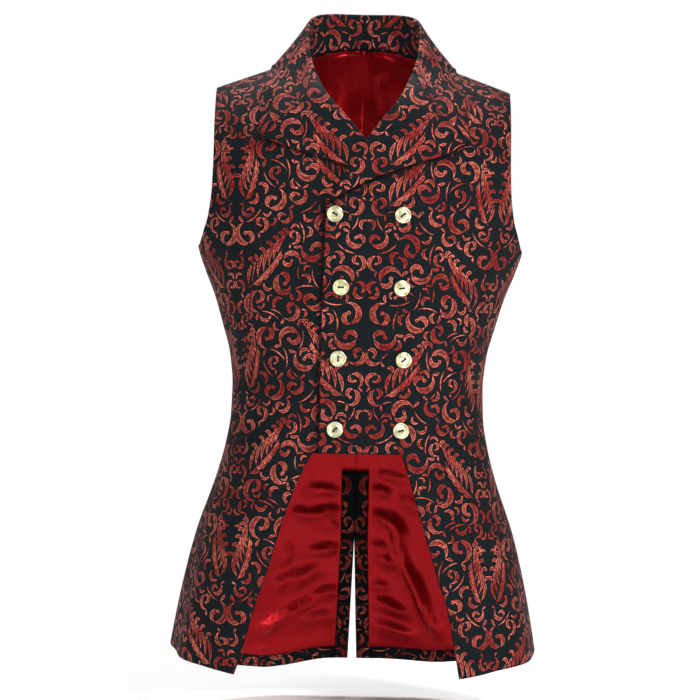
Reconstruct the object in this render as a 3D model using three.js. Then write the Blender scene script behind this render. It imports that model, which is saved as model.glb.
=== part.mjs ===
import * as THREE from 'three';

// A double-breasted brocade waistcoat with a turned-down collar, wide lapels and a cut-away skirt.
// It keeps the hollow form of a wearer, with neck, armholes, front of the skirt and hem open.
// Millimetres, +Z up, the front faces -Y and the wearer's left is +X.
// The origin lies between the shoulders, at the height of the neck sides.

// Driving sizes
const WALL = 2;              // brocade with its interlining
const LINING_WALL = 1.2;     // satin lining and brocade facings
const LAPEL_WALL = 1.8;
const SEAM = 0.3;            // gap between neighbouring pieces
const LINING_GAP = 0.4;
const SIDE = Math.PI / 2;    // angle of the side seam from the centre of the front or back
const UNDERARM = -208;       // height of the armhole's lowest point
const CUT = -436;            // height of the waist cut-away
const BREAK = -163;          // height where the lapels start to roll
const HEM_FRONT = -679;
const HEM_SIDE = -656;
const HEM_BACK = -690;
const VENT_TOP = -463;
const VENT_OPEN = -545;      // above this the vent's edges meet
const FACING_RISE = 14;      // height of the facing along the back hem
const SHOULDER_ROUND = 100;  // height over which the shoulders round over
const BULGE = 2.3;           // exponent of the rounded cross-section
const NECK_HALF = 72;        // half width of the neck hole at the shoulder
const BUTTON_RADIUS = 9;

// Cross-sections of the worn form: half width and depths from the side seams
const LEVELS = [
  { z: -700, half: 214, front: 147, back: 158 },
  { z: -656, half: 207, front: 142, back: 152 },
  { z: -600, half: 197, front: 134, back: 143 },
  { z: -532, half: 181, front: 123, back: 128 },
  { z: -464, half: 158, front: 111, back: 111 },
  { z: -430, half: 149, front: 105, back: 102 },
  { z: -396, half: 143.5, front: 101, back: 95 },
  { z: -362, half: 142.5, front: 99, back: 92 },
  { z: -327, half: 146, front: 101, back: 94 },
  { z: -293, half: 155, front: 105, back: 99 },
  { z: -260, half: 165, front: 110, back: 106 },
  { z: -235, half: 175, front: 114, back: 112 },
  { z: -208, half: 184, front: 116, back: 116 },
  { z: -160, half: 191, front: 116, back: 119 },
  { z: -130, half: 193, front: 114, back: 118 },
  { z: -40, half: 193, front: 92, back: 103 },
  { z: 0, half: 193, front: 64, back: 88 },
  { z: 40, half: 193, front: 44, back: 66 },
  { z: 90, half: 193, front: 40, back: 60 },
];

// Soft folds that open towards the hem: angle and spread in degrees, depth at the hem
const FOLDS = [
  { face: -1, hand: 1, at: 66, spread: 8, depth: 4.5, top: -430 },
  { face: -1, hand: 1, at: 50, spread: 6, depth: -3, top: -500 },
  { face: -1, hand: -1, at: 62, spread: 7, depth: 4, top: -460 },
  { face: -1, hand: -1, at: 76, spread: 6, depth: -3, top: -420 },
  { face: 1, hand: 1, at: 62, spread: 9, depth: 6, top: -400 },
  { face: 1, hand: 1, at: 40, spread: 8, depth: -6, top: -440 },
  { face: 1, hand: 1, at: 20, spread: 7, depth: 4, top: -480 },
  { face: 1, hand: -1, at: 68, spread: 8, depth: 5, top: -420 },
  { face: 1, hand: -1, at: 46, spread: 9, depth: -6.5, top: -400 },
  { face: 1, hand: -1, at: 24, spread: 8, depth: 4.5, top: -460 },
];

// Front edges seen from the front: distance from the centre for the wearer's left and right
const SKIRT_EDGE = [
  { z: -679, left: 117, right: 130 },
  { z: -662, left: 114, right: 124 },
  { z: -610, left: 104, right: 110 },
  { z: -560, left: 88, right: 94 },
  { z: -510, left: 72, right: 79.5 },
  { z: -462, left: 57.5, right: 62 },
  { z: -436, left: 49, right: 49 },
];
const OVERLAP_EDGE = [
  { z: -436, left: -42.3, right: -38 },
  { z: -355, left: -41.8, right: -38 },
  { z: -267, left: -41.3, right: -38 },
  { z: -163, left: -38.8, right: -37 },
];
const ROLL_LINE = [
  { z: -163, left: -38.8, right: -37 },
  { z: -127, left: -17.6, right: -22 },
  { z: -92, left: 4.7, right: -4.7 },
  { z: -74, left: 17, right: 9.5 },
  { z: -54, left: 33, right: 27.5 },
  { z: -37, left: 42.6, right: 41 },
  { z: -10, left: 53.9, right: 54 },
  { z: 3, left: 60, right: 60 },
  { z: 8.7, left: 72, right: 72 },
];

// Gorge seam between collar and lapel, from the roll line out to the lapel's tip
const GORGE = [
  { leftX: 57.7, leftZ: -12, rightX: 57.7, rightZ: -12 },
  { leftX: 61.5, leftZ: -27, rightX: 60.5, rightZ: -30 },
  { leftX: 68, leftZ: -45, rightX: 66, rightZ: -49 },
  { leftX: 81, leftZ: -59, rightX: 84, rightZ: -63 },
  { leftX: 104, leftZ: -78, rightX: 101, rightZ: -77 },
  { leftX: 118.8, leftZ: -89, rightX: 112, rightZ: -90 },
];

// Lower edge of the lapels, from the tip in to the break of the roll
const LAPEL_EDGE = [
  { leftX: 118.8, leftZ: -89, rightX: 112, rightZ: -90 },
  { leftX: 92, leftZ: -105, rightX: 90, rightZ: -96.5 },
  { leftX: 53.6, leftZ: -118.5, rightX: 57.6, rightZ: -107 },
  { leftX: 6.7, leftZ: -137.2, rightX: 14.5, rightZ: -121 },
  { leftX: -36, leftZ: -161, rightX: -33, rightZ: -158 },
];

const ARMHOLE = [
  { z: -208, x: 184 },
  { z: -204, x: 181.3 },
  { z: -190, x: 176.5 },
  { z: -174, x: 171.5 },
  { z: -142, x: 167.5 },
  { z: -105, x: 166.5 },
  { z: -60, x: 167 },
  { z: -25.6, x: 167 },
];
const BACK_NECK = [
  { x: 0, z: 27 },
  { x: 25, z: 25 },
  { x: 46, z: 19 },
  { x: 63, z: 12.5 },
  { x: 72, z: 8.7 },
];

// Collar from the centre back to the gorge: neck seam, fold and outer edge of the fall.
// The last row is filled in from the lapel's roll and tip.
const COLLAR = [
  { seamX: 0, seamY: 54.3, seamZ: 27.8, foldX: 0, foldY: 50, foldZ: 66, edgeX: 0, edgeY: 84, edgeZ: 2 },
  { seamX: 24.4, seamY: 45.8, seamZ: 25.8, foldX: 25, foldY: 46, foldZ: 66, edgeX: 38, edgeY: 76, edgeZ: 1 },
  { seamX: 44.9, seamY: 32.8, seamZ: 19.9, foldX: 45, foldY: 35, foldZ: 64, edgeX: 71, edgeY: 54, edgeZ: 1 },
  { seamX: 61.7, seamY: 14.7, seamZ: 13.6, foldX: 58, foldY: 18, foldZ: 57, edgeX: 92, edgeY: 27, edgeZ: 1 },
  { seamX: 70.6, seamY: 0, seamZ: 10, foldX: 62, foldY: 0, foldZ: 45, edgeX: 103, edgeY: -4, edgeZ: -1 },
  { seamX: 66, seamY: -14, seamZ: 7, foldX: 62, foldY: -14, foldZ: 31, edgeX: 108, edgeY: -36, edgeZ: -22 },
  { seamX: 62, seamY: -28, seamZ: 4, foldX: 61, foldY: -27, foldZ: 16, edgeX: 113, edgeY: -60, edgeZ: -44 },
  { seamX: 59, seamY: -39, seamZ: -3, foldX: 58, foldY: -40, foldZ: 2, edgeX: 116, edgeY: -78, edgeZ: -67 },
  { seamX: 0, seamY: 0, seamZ: 0, foldX: 0, foldY: 0, foldZ: 0, edgeX: 0, edgeY: 0, edgeZ: 0 },
];

const BUTTONS = [
  { z: -173, inner: -28, outer: 45 },
  { z: -252, inner: -20.5, outer: 45.5 },
  { z: -331, inner: -22, outer: 49 },
  { z: -410, inner: -24, outer: 47.5 },
];

// Interpolation

const mix = (a, b, t) => a + (b - a) * t;
const clamp = (value, low, high) => Math.min(Math.max(value, low), high);
const smooth = (a, b, value) => {
  const t = clamp((value - a) / (b - a), 0, 1);
  return t * t * (3 - 2 * t);
};

// Smooth curve through one column of a table, with no overshoot
function curve(rows, key, column) {
  const x = rows.map((row) => row[key]);
  const y = rows.map((row) => row[column]);
  const slope = x.slice(1).map((next, i) => (y[i + 1] - y[i]) / (next - x[i]));
  const tangent = x.map((_, i) => {
    if (i === 0) return slope[0];
    if (i === x.length - 1) return slope[i - 1];
    const product = slope[i - 1] * slope[i];
    return product <= 0 ? 0 : (2 * product) / (slope[i - 1] + slope[i]);
  });
  return (value) => {
    const at = clamp(value, x[0], x[x.length - 1]);
    let i = 0;
    while (i < x.length - 2 && at > x[i + 1]) i += 1;
    const span = x[i + 1] - x[i];
    const t = (at - x[i]) / span;
    const rest = 1 - t;
    return y[i] * rest * rest * (1 + 2 * t) + y[i + 1] * t * t * (3 - 2 * t)
      + span * t * rest * (tangent[i] * rest - tangent[i + 1] * t);
  };
}

// Table rows numbered in equal steps from 0 to 1, so that a column becomes a curve along them
function along(rows, column) {
  const numbered = rows.map((row, i) => ({ ...row, step: i / (rows.length - 1) }));
  return curve(numbered, 'step', column);
}

// The worn form

const halfAt = curve(LEVELS, 'z', 'half');
const frontAt = curve(LEVELS, 'z', 'front');
const backAt = curve(LEVELS, 'z', 'back');
const SHOULDER_HALF = halfAt(0);

// Height of the shoulder line, raised as a neck over the neck hole
function ridge(x) {
  const away = Math.abs(x);
  const neck = away < 75 ? 30 * (1 - (away / 75) ** 2) ** 2 : 0;
  return 34.5 - 0.36 * away + neck;
}

function foldDepth(face, phi, z) {
  const hand = phi < 0 ? -1 : 1;
  const degrees = Math.abs(phi) * 180 / Math.PI;
  let depth = 0;
  for (const fold of FOLDS) {
    if (fold.face !== face || fold.hand !== hand) continue;
    const open = smooth(fold.top, HEM_BACK, z);
    depth += fold.depth * open * Math.exp(-(((degrees - fold.at) / fold.spread) ** 2));
  }
  return depth * smooth(90, 80, degrees) * smooth(0, 8, degrees);
}

// Point of the form: face -1 is the front and 1 the back, phi turns from the centre to the side.
// rise is the height, measured on round the shoulder where that rounds over.
function form(face, phi, rise) {
  const x = halfAt(rise) * Math.sin(phi);
  const shelf = ridge(x) - SHOULDER_ROUND;
  const turn = clamp((rise - shelf) / SHOULDER_ROUND, 0, Math.PI / 2);
  const z = turn > 0 ? shelf + SHOULDER_ROUND * Math.sin(turn) : rise;
  const depth = face < 0 ? frontAt(z) : backAt(z);
  const round = Math.max(1 - Math.abs(Math.sin(phi)) ** BULGE, 0) ** (1 / BULGE);
  const y = face * depth * round * Math.cos(turn);
  const swell = 1 + foldDepth(face, phi, z) / Math.max(Math.hypot(x, y), 1);
  return new THREE.Vector3(x * swell, y * swell, z);
}

function topRise(phi) {
  return ridge(SHOULDER_HALF * Math.sin(phi)) + SHOULDER_ROUND * (Math.PI / 2 - 1);
}

// Outward direction of the form
function outward(face, phi, rise) {
  const step = 1e-3;
  const angle = clamp(phi, step - SIDE, SIDE - 2 * step);
  const height = Math.min(rise, topRise(angle) - 0.3);
  const across = form(face, angle + step, height).sub(form(face, angle - step, height));
  const up = form(face, angle, height + 0.1).sub(form(face, angle, height - 0.1));
  return across.cross(up).multiplyScalar(-face).normalize();
}

// Front view place (x, z) as an angle and a level; level runs 0 to 1 from underarm to shoulder
function place(x, z) {
  const shelf = ridge(x) - SHOULDER_ROUND;
  const lift = clamp((z - shelf) / SHOULDER_ROUND, 0, 1);
  const rise = z <= shelf ? z : shelf + SHOULDER_ROUND * Math.asin(lift);
  const phi = Math.asin(clamp(x / halfAt(rise), -1, 1));
  return { phi, level: levelOf(phi, rise) };
}
function levelOf(phi, rise) {
  const span = rise > UNDERARM ? topRise(phi) - UNDERARM : 300;
  return (rise - UNDERARM) / span;
}
function riseOf(phi, level) {
  const span = level > 0 ? topRise(phi) - UNDERARM : 300;
  return UNDERARM + level * span;
}
function onSide(z) {
  return { phi: SIDE, level: levelOf(SIDE, z) };
}
function between(a, b, t) {
  return { phi: mix(a.phi, b.phi, t), level: mix(a.level, b.level, t) };
}

// Panels

// Rows of a panel from sections, each with its inner, middle and outer edge from t = 0 to 1.
// Columns run from the inner to the middle edge and on to the outer edge.
function panelRows(sections, innerColumns, outerColumns) {
  const rows = [];
  sections.forEach((section, index) => {
    const last = index === sections.length - 1 ? section.rows : section.rows - 1;
    for (let k = 0; k <= last; k += 1) {
      const t = k / section.rows;
      const inner = section.inner ? section.inner(t) : section.middle(t);
      const middle = section.middle(t);
      const outer = section.outer(t);
      const row = [];
      for (let j = 0; j < innerColumns; j += 1) row.push(between(inner, middle, j / innerColumns));
      for (let j = 0; j <= outerColumns; j += 1) row.push(between(middle, outer, j / outerColumns));
      rows.push({ section: index, places: row });
    }
  });
  return rows;
}

// Closed wall from two grids of points over the cells that has() keeps
function wall(outer, inner, has) {
  const rows = outer.length;
  const columns = outer[0].length;
  const positions = [];
  const number = (grid) => grid.map((row) => row.map((point) => {
    positions.push(point.x, point.y, point.z);
    return positions.length / 3 - 1;
  }));
  const top = number(outer);
  const bottom = number(inner);
  const index = [];
  const quad = (a, b, c, d) => index.push(a, b, c, a, c, d);
  const cell = (i, j) => i >= 0 && j >= 0 && i < rows - 1 && j < columns - 1 && has(i, j);
  for (let i = 0; i < rows - 1; i += 1) {
    for (let j = 0; j < columns - 1; j += 1) {
      if (!cell(i, j)) continue;
      quad(top[i][j], top[i][j + 1], top[i + 1][j + 1], top[i + 1][j]);
      quad(bottom[i][j], bottom[i + 1][j], bottom[i + 1][j + 1], bottom[i][j + 1]);
      if (!cell(i - 1, j)) quad(top[i][j + 1], top[i][j], bottom[i][j], bottom[i][j + 1]);
      if (!cell(i + 1, j)) quad(top[i + 1][j], top[i + 1][j + 1], bottom[i + 1][j + 1], bottom[i + 1][j]);
      if (!cell(i, j - 1)) quad(top[i][j], top[i + 1][j], bottom[i + 1][j], bottom[i][j]);
      if (!cell(i, j + 1)) quad(top[i + 1][j + 1], top[i][j + 1], bottom[i][j + 1], bottom[i + 1][j + 1]);
    }
  }
  return solid(positions, index);
}

// Geometry of the used points, turned so that its faces point out
function solid(positions, index) {
  const used = new Map();
  const kept = [];
  const renumbered = index.map((old) => {
    if (!used.has(old)) {
      used.set(old, kept.length / 3);
      kept.push(positions[3 * old], positions[3 * old + 1], positions[3 * old + 2]);
    }
    return used.get(old);
  });
  const point = (i) => new THREE.Vector3().fromArray(kept, 3 * renumbered[i]);
  let volume = 0;
  for (let i = 0; i < renumbered.length; i += 3) {
    volume += point(i).dot(point(i + 1).cross(point(i + 2)));
  }
  if (volume < 0) renumbered.reverse();
  const geometry = new THREE.BufferGeometry();
  geometry.setAttribute('position', new THREE.Float32BufferAttribute(kept, 3));
  geometry.setIndex(renumbered);
  geometry.computeVertexNormals();
  return geometry;
}

// Pulls the border of a grid in by half a seam, so that neighbours stand apart
function trim(grid, has, amount) {
  const rows = grid.length;
  const columns = grid[0].length;
  const missing = (i, j) => i < 0 || j < 0 || i > rows - 2 || j > columns - 2 || !has(i, j);
  const shifted = grid.map((row) => row.map((point) => point.clone()));
  for (let i = 0; i < rows; i += 1) {
    for (let j = 0; j < columns; j += 1) {
      let pushI = 0;
      let pushJ = 0;
      for (const di of [-1, 0]) {
        for (const dj of [-1, 0]) {
          if (!missing(i + di, j + dj)) continue;
          pushI += di < 0 ? 1 : -1;
          pushJ += dj < 0 ? 1 : -1;
        }
      }
      if (Math.abs(pushI) === 4 || (pushI === 0 && pushJ === 0)) continue;
      const nextI = clamp(i + Math.sign(pushI), 0, rows - 1);
      const nextJ = clamp(j + Math.sign(pushJ), 0, columns - 1);
      const alongI = grid[nextI][j].clone().sub(grid[i][j]);
      const alongJ = grid[i][nextJ].clone().sub(grid[i][j]);
      for (const direction of [alongI, alongJ]) {
        if (direction.length() > 0) shifted[i][j].addScaledVector(direction.normalize(), amount);
      }
    }
  }
  return shifted;
}

// Wall on the form, from the offset of its outer face inwards
function panel(face, hand, rows, has, offset, thickness, gap = SEAM / 2) {
  const inner = [];
  const outer = [];
  const points = rows.map(({ places }) => places.map(({ phi, level }) => {
    const angle = hand * phi;
    const rise = riseOf(phi, level);
    return { at: form(face, angle, rise), normal: outward(face, angle, rise) };
  }));
  const middle = trim(points.map((row) => row.map(({ at }) => at)), has, gap);
  points.forEach((row, i) => {
    outer.push(row.map(({ at, normal }, j) => {
      return middle[i][j].clone().addScaledVector(normal, offset(at.x, at.z));
    }));
    inner.push(row.map(({ at, normal }, j) => {
      return middle[i][j].clone().addScaledVector(normal, offset(at.x, at.z) - thickness);
    }));
  });
  return wall(outer, inner, has);
}

const everywhere = () => true;
const armholeX = curve(ARMHOLE, 'z', 'x');
const armhole = (t) => {
  const z = mix(ARMHOLE[0].z, ARMHOLE[ARMHOLE.length - 1].z, t ** 1.6);
  return t === 0 ? onSide(UNDERARM) : place(armholeX(z), z);
};

// Fronts

// Height of the wearer's left front over the right one, with more where it crosses the right lapel
function overlapLift(x, z) {
  const overRightLapel = smooth(-215, -172, z) * smooth(-15, -85, z);
  return smooth(105, 52, x) * (3.3 * smooth(-5, -60, z) + 3 * overRightLapel);
}
const noLift = () => 0;

// The lapel's roll stands round the panel's edge, which is set back behind it
const LAPEL_CLEAR = 1.2;
const ROLL_RADIUS = (WALL / 2 + LAPEL_CLEAR + LAPEL_WALL / 2) / 2;
const ROLL_LEAD = 0.9;       // from the panel's edge to the centre of the roll
const ROLL_START = 0.45;     // gap between the panel's edge and the lapel's own
const setback = (z) => {
  return (ROLL_LEAD + ROLL_RADIUS + LAPEL_WALL / 2) * smooth(BREAK - 6, BREAK + 12, z);
};

const LAPEL_TOP = -12;
const NECK_CORNER = 3;
const CHEST_ROWS = 9;
const NECK_ROWS = 3;
const FRONT_INNER_COLUMNS = 5;
const FRONT_OUTER_COLUMNS = 9;
const CHEST_X = 56;          // the line of columns that goes on up from the skirt's front edge
const CHEST_Z = mix(BREAK, UNDERARM, 0.45);
const SHOULDER_X = 108;

function frontSections(hand) {
  const column = hand > 0 ? 'left' : 'right';
  const skirt = curve(SKIRT_EDGE, 'z', column);
  const overlap = curve(OVERLAP_EDGE, 'z', column);
  const roll = curve(ROLL_LINE, 'z', column);
  const shoulder = (x) => place(x, ridge(x));
  const chest = CHEST_ROWS / (CHEST_ROWS + NECK_ROWS);
  return [
    {
      rows: 8,
      middle: (t) => place(skirt(mix(HEM_FRONT, CUT, t)), mix(HEM_FRONT, CUT, t)),
      outer: (t) => onSide(mix(HEM_SIDE, CUT, t)),
    },
    {
      rows: 9,
      inner: (t) => place(overlap(mix(CUT, BREAK, t)), mix(CUT, BREAK, t)),
      middle: (t) => place(mix(skirt(CUT), CHEST_X, t), mix(CUT, CHEST_Z, t)),
      outer: (t) => onSide(mix(CUT, UNDERARM, t)),
    },
    {
      rows: CHEST_ROWS,
      inner: (t) => {
        const z = mix(BREAK, LAPEL_TOP, t);
        return place(roll(z) + setback(z), z);
      },
      middle: (t) => between(place(CHEST_X, CHEST_Z), shoulder(SHOULDER_X), t * chest),
      outer: (t) => armhole(t * chest),
    },
    {
      rows: NECK_ROWS,
      inner: (t) => {
        const z = mix(LAPEL_TOP, NECK_CORNER, t * NECK_ROWS / (NECK_ROWS - 1));
        return t === 1 ? shoulder(NECK_HALF) : place(roll(z) + setback(z), z);
      },
      middle: (t) => between(place(CHEST_X, CHEST_Z), shoulder(SHOULDER_X), mix(chest, 1, t)),
      outer: (t) => armhole(mix(chest, 1, t)),
    },
  ];
}

function front(hand) {
  const rows = panelRows(frontSections(hand), FRONT_INNER_COLUMNS, FRONT_OUTER_COLUMNS);
  const has = (i, j) => j >= FRONT_INNER_COLUMNS || rows[i].section > 0;
  return panel(-1, hand, rows, has, hand > 0 ? overlapLift : noLift, WALL);
}

// Back, its facings and its lining

const BACK_INNER_COLUMNS = 2;
const BACK_OUTER_COLUMNS = 8;
const NAPE_LEVEL = 0.86;
const HEM_BAND = 0;
const SKIRT = 1;
const VENT_FACING = 16;      // width of the vent facings
const BACK_SHOULDER_X = 84;
const ventEdge = (z) => 5.5 * smooth(VENT_OPEN, HEM_BACK - 60, z);
const facingEdge = (z) => ventEdge(z) + VENT_FACING;

function backSections() {
  const neckX = along(BACK_NECK, 'x');
  const neckZ = along(BACK_NECK, 'z');
  const middle = (t) => {
    const x = mix(facingEdge(VENT_TOP), BACK_SHOULDER_X, smooth(0.4, 1, t));
    return { phi: place(x, ridge(x)).phi, level: t ** 1.1 };
  };
  const skirt = (rows, low, high) => ({
    rows,
    inner: (t) => place(ventEdge(mix(low, high, t)), mix(low, high, t)),
    middle: (t) => place(facingEdge(mix(low, high, t)), mix(low, high, t)),
    outer: (t) => {
      const height = (mix(low, high, t) - HEM_BACK) / (VENT_TOP - HEM_BACK);
      return onSide(mix(HEM_SIDE, VENT_TOP, height));
    },
  });
  return [
    skirt(1, HEM_BACK, HEM_BACK + FACING_RISE),
    skirt(6, HEM_BACK + FACING_RISE, VENT_TOP),
    {
      rows: 8,
      inner: (t) => place(0, mix(VENT_TOP, UNDERARM, t)),
      middle: (t) => place(facingEdge(VENT_TOP), mix(VENT_TOP, UNDERARM, t)),
      outer: (t) => onSide(mix(VENT_TOP, UNDERARM, t)),
    },
    {
      rows: 6,
      inner: (t) => place(0, mix(UNDERARM, BACK_NECK[0].z, t)),
      middle: (t) => middle(t * NAPE_LEVEL),
      outer: (t) => armhole(t * NAPE_LEVEL),
    },
    {
      rows: 4,
      inner: (t) => (t === 1 ? place(NECK_HALF, ridge(NECK_HALF)) : place(neckX(t), neckZ(t))),
      middle: (t) => middle(mix(NAPE_LEVEL, 1, t)),
      outer: (t) => armhole(mix(NAPE_LEVEL, 1, t)),
    },
  ];
}

function backPieces(hand, word) {
  const rows = panelRows(backSections(), BACK_INNER_COLUMNS, BACK_OUTER_COLUMNS);
  const inside = () => -WALL - LINING_GAP;
  const beside = (j) => j >= BACK_INNER_COLUMNS;
  const onVent = (i, j) => !beside(j) && rows[i].section <= SKIRT;
  const onHem = (i, j) => beside(j) && rows[i].section === HEM_BAND;
  const onLining = (i, j) => !onVent(i, j) && !onHem(i, j);
  add(`back_${word}`, panel(1, hand, rows, everywhere, noLift, WALL), cloth.brocade);
  add(`vent_facing_${word}`, panel(1, hand, rows, onVent, inside, LINING_WALL), cloth.brocade);
  add(`hem_facing_${word}`, panel(1, hand, rows, onHem, inside, LINING_WALL), cloth.brocade);
  add(`back_lining_${word}`, panel(1, hand, rows, onLining, inside, LINING_WALL), cloth.lining);
}

// Lapels and collar

const SOFT_LIFT = 2.2;       // how far the lapel stands off the front beside its roll
const SOFT_LIFT_AT = 20;     // distance from the roll line where it stands off the most
const rollLine = {
  left: curve(ROLL_LINE, 'z', 'left'),
  right: curve(ROLL_LINE, 'z', 'right'),
};

// Point on the middle face of a lapel that lies on the front, x measured towards its own side.
// The right lapel lies flat where the left front covers it.
function drape(hand, x, z) {
  const roll = rollLine[hand > 0 ? 'left' : 'right'](Math.min(z, NECK_CORNER));
  const away = Math.max(x - roll, 0) / SOFT_LIFT_AT;
  const covered = rollLine.left(z);
  const hidden = hand < 0 ? smooth(covered - 24, covered - 4, -x) : 0;
  const lift = SOFT_LIFT * away * Math.exp(1 - away) * (1 - hidden);
  const over = hand > 0 ? overlapLift(x, z) : 0;
  const { phi, level } = place(x, z);
  const rise = riseOf(phi, level);
  const height = over + LAPEL_CLEAR + LAPEL_WALL / 2 + lift;
  return form(-1, hand * phi, rise).addScaledVector(outward(-1, hand * phi, rise), height);
}

// Point on the straight stretches of the front's edge between its rows
function onFrontEdge(hand, z) {
  const roll = rollLine[hand > 0 ? 'left' : 'right'];
  const step = (z - BREAK) / (LAPEL_TOP - BREAK) * CHEST_ROWS;
  const row = clamp(Math.floor(step), 0, CHEST_ROWS - 1);
  const corner = (k) => {
    const height = mix(BREAK, LAPEL_TOP, k / CHEST_ROWS);
    const { phi, level } = place(roll(height) + setback(height), height);
    return form(-1, hand * phi, riseOf(phi, level));
  };
  return corner(row).lerp(corner(row + 1), step - row);
}

// Half turn of the cloth round the front's edge at height z, from the panel to the lapel
function rollTurn(hand, z) {
  const point = onFrontEdge(hand, z);
  const tangent = onFrontEdge(hand, z + 4).sub(onFrontEdge(hand, z - 4)).normalize();
  const { phi, level } = place(hand * point.x, z);
  const normal = outward(-1, hand * phi, riseOf(phi, level));
  const away = normal.clone().cross(tangent).multiplyScalar(-hand).normalize();
  const over = hand > 0 ? overlapLift(point.x, z) : 0;
  const offset = (back, height) => {
    return point.clone().addScaledVector(away, -back).addScaledVector(normal, over - WALL / 2 + height);
  };
  const turn = [{ at: offset(ROLL_START, 0), normal: normal.clone() }];
  for (let k = 0; k <= 4; k += 1) {
    const angle = Math.PI * k / 4;
    turn.push({
      at: offset(ROLL_LEAD + ROLL_RADIUS * Math.sin(angle), ROLL_RADIUS * (1 - Math.cos(angle))),
      normal: normal.clone().multiplyScalar(Math.cos(angle)).addScaledVector(away, Math.sin(angle)),
    });
  }
  return turn;
}

// Curve on the lapel's face through a table of places; a start moves its beginning there
function edgeOnLapel(hand, table, start = null) {
  const word = hand > 0 ? 'left' : 'right';
  const x = along(table, `${word}X`);
  const z = along(table, `${word}Z`);
  const shift = start ? start.clone().sub(drape(hand, x(0), z(0))) : new THREE.Vector3();
  return (t) => ({
    x: x(t),
    z: z(t),
    point: drape(hand, x(t), z(t)).addScaledVector(shift, (1 - t) ** 3),
  });
}

const LAPEL_END = -158;
const LAPEL_TIP_ROW = 8;
const LAPEL_ROWS = 17;
const LAPEL_COLUMNS = 6;

// Corners of the gorge seam, shared by the lapel and the collar
function gorgeCorners(hand) {
  const turn = rollTurn(hand, LAPEL_TOP);
  const onSeam = edgeOnLapel(hand, GORGE, turn[turn.length - 1].at);
  const corners = [];
  for (let k = 0; k <= LAPEL_TIP_ROW; k += 1) corners.push(onSeam(k / LAPEL_TIP_ROW).point);
  return corners;
}

function lapel(hand) {
  const seam = gorgeCorners(hand);
  const lower = edgeOnLapel(hand, LAPEL_EDGE);
  const grid = [];
  const normals = [];
  for (let i = 0; i <= LAPEL_ROWS; i += 1) {
    const turn = rollTurn(hand, mix(LAPEL_TOP - 1, LAPEL_END, (i / LAPEL_ROWS) ** 0.95));
    const from = turn[turn.length - 1].at;
    const below = (i - LAPEL_TIP_ROW) / (LAPEL_ROWS - LAPEL_TIP_ROW);
    const onSeam = i === 0 ? seam[0].clone().lerp(seam[1], 0.2) : seam[i];
    const edge = i <= LAPEL_TIP_ROW ? onSeam : lower(below).point;
    const shift = from.clone().sub(drape(hand, hand * from.x, from.z));
    const endShift = edge.clone().sub(drape(hand, hand * edge.x, edge.z));
    const row = turn.map(({ at }) => at);
    const fixed = turn.map(({ normal }) => (i === 0 ? normal : null));
    for (let j = 1; j <= LAPEL_COLUMNS; j += 1) {
      const t = j / LAPEL_COLUMNS;
      const point = drape(hand, hand * mix(from.x, edge.x, t), mix(from.z, edge.z, t));
      row.push(point.addScaledVector(shift, (1 - t) ** 2).addScaledVector(endShift, t));
      const onGorge = i === 0 || (j === LAPEL_COLUMNS && i <= LAPEL_TIP_ROW);
      fixed.push(onGorge ? outwardAt(hand, point).negate() : null);
    }
    grid.push(row);
    normals.push(fixed);
  }
  return sheetWall(trim(grid, everywhere, SEAM), normals, LAPEL_WALL);
}

// Outward direction of the front below a point that lies over it
function outwardAt(hand, point) {
  const { phi, level } = place(hand * point.x, point.z);
  return outward(-1, hand * phi, riseOf(phi, level));
}

// Wall round a grid of middle points, half of it to each side along the grid's normals.
// A fixed normal, where there is one, keeps an edge square to the piece that it meets.
function sheetWall(grid, fixed, thickness) {
  const rows = grid.length;
  const columns = grid[0].length;
  const side = (sign) => grid.map((row, i) => row.map((point, j) => {
    const alongRow = grid[i][Math.min(j + 1, columns - 1)].clone().sub(grid[i][Math.max(j - 1, 0)]);
    const alongColumn = grid[Math.min(i + 1, rows - 1)][j].clone().sub(grid[Math.max(i - 1, 0)][j]);
    const normal = alongRow.cross(alongColumn).normalize();
    const kept = fixed[i][j];
    if (kept) normal.copy(kept).multiplyScalar(Math.sign(kept.dot(normal)));
    return point.clone().addScaledVector(normal, sign * thickness / 2);
  }));
  return wall(side(1), side(-1), everywhere);
}

const COLLAR_ROWS = 15;
const STAND_COLUMNS = 3;

// Section of one half of the collar at t, 0 at the centre back and 1 at the gorge
function collarSection(hand, t, end) {
  const at = (name) => new THREE.Vector3(
    hand * end[`${name}X`](t), end[`${name}Y`](t), end[`${name}Z`](t));
  const seam = at('seam');
  const fold = at('fold');
  const edge = at('edge');
  const step = 0.02;
  const ahead = clamp(t + step, 0, 1);
  const behind = clamp(t - step, 0, 1);
  const tangent = new THREE.Vector3(
    hand * (end.foldX(ahead) - end.foldX(behind)),
    end.foldY(ahead) - end.foldY(behind),
    end.foldZ(ahead) - end.foldZ(behind)).normalize();
  const up = fold.clone().sub(seam).normalize().add(fold.clone().sub(edge).normalize());
  up.addScaledVector(tangent, -up.dot(tangent)).normalize();
  const out = tangent.clone().cross(up).multiplyScalar(-hand).normalize();
  const top = fold.clone().addScaledVector(up, -ROLL_RADIUS);
  const section = [];
  for (let k = 0; k < STAND_COLUMNS; k += 1) section.push(seam.clone().lerp(top, k / STAND_COLUMNS));
  for (let k = 0; k <= 4; k += 1) {
    const angle = Math.PI * k / 4;
    section.push(top.clone()
      .addScaledVector(out, ROLL_RADIUS * (1 - Math.cos(angle)))
      .addScaledVector(up, ROLL_RADIUS * Math.sin(angle)));
  }
  return { section, from: section[section.length - 1].clone(), edge, out };
}

// The collar's last section starts with the half turn that the lapel goes on with
function endOfStand(turn) {
  const row = [];
  for (let k = 0; k < STAND_COLUMNS; k += 1) {
    row.push(turn[0].at.clone().lerp(turn[1].at, k / STAND_COLUMNS));
  }
  return row.concat(turn.slice(1).map(({ at }) => at));
}

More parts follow.
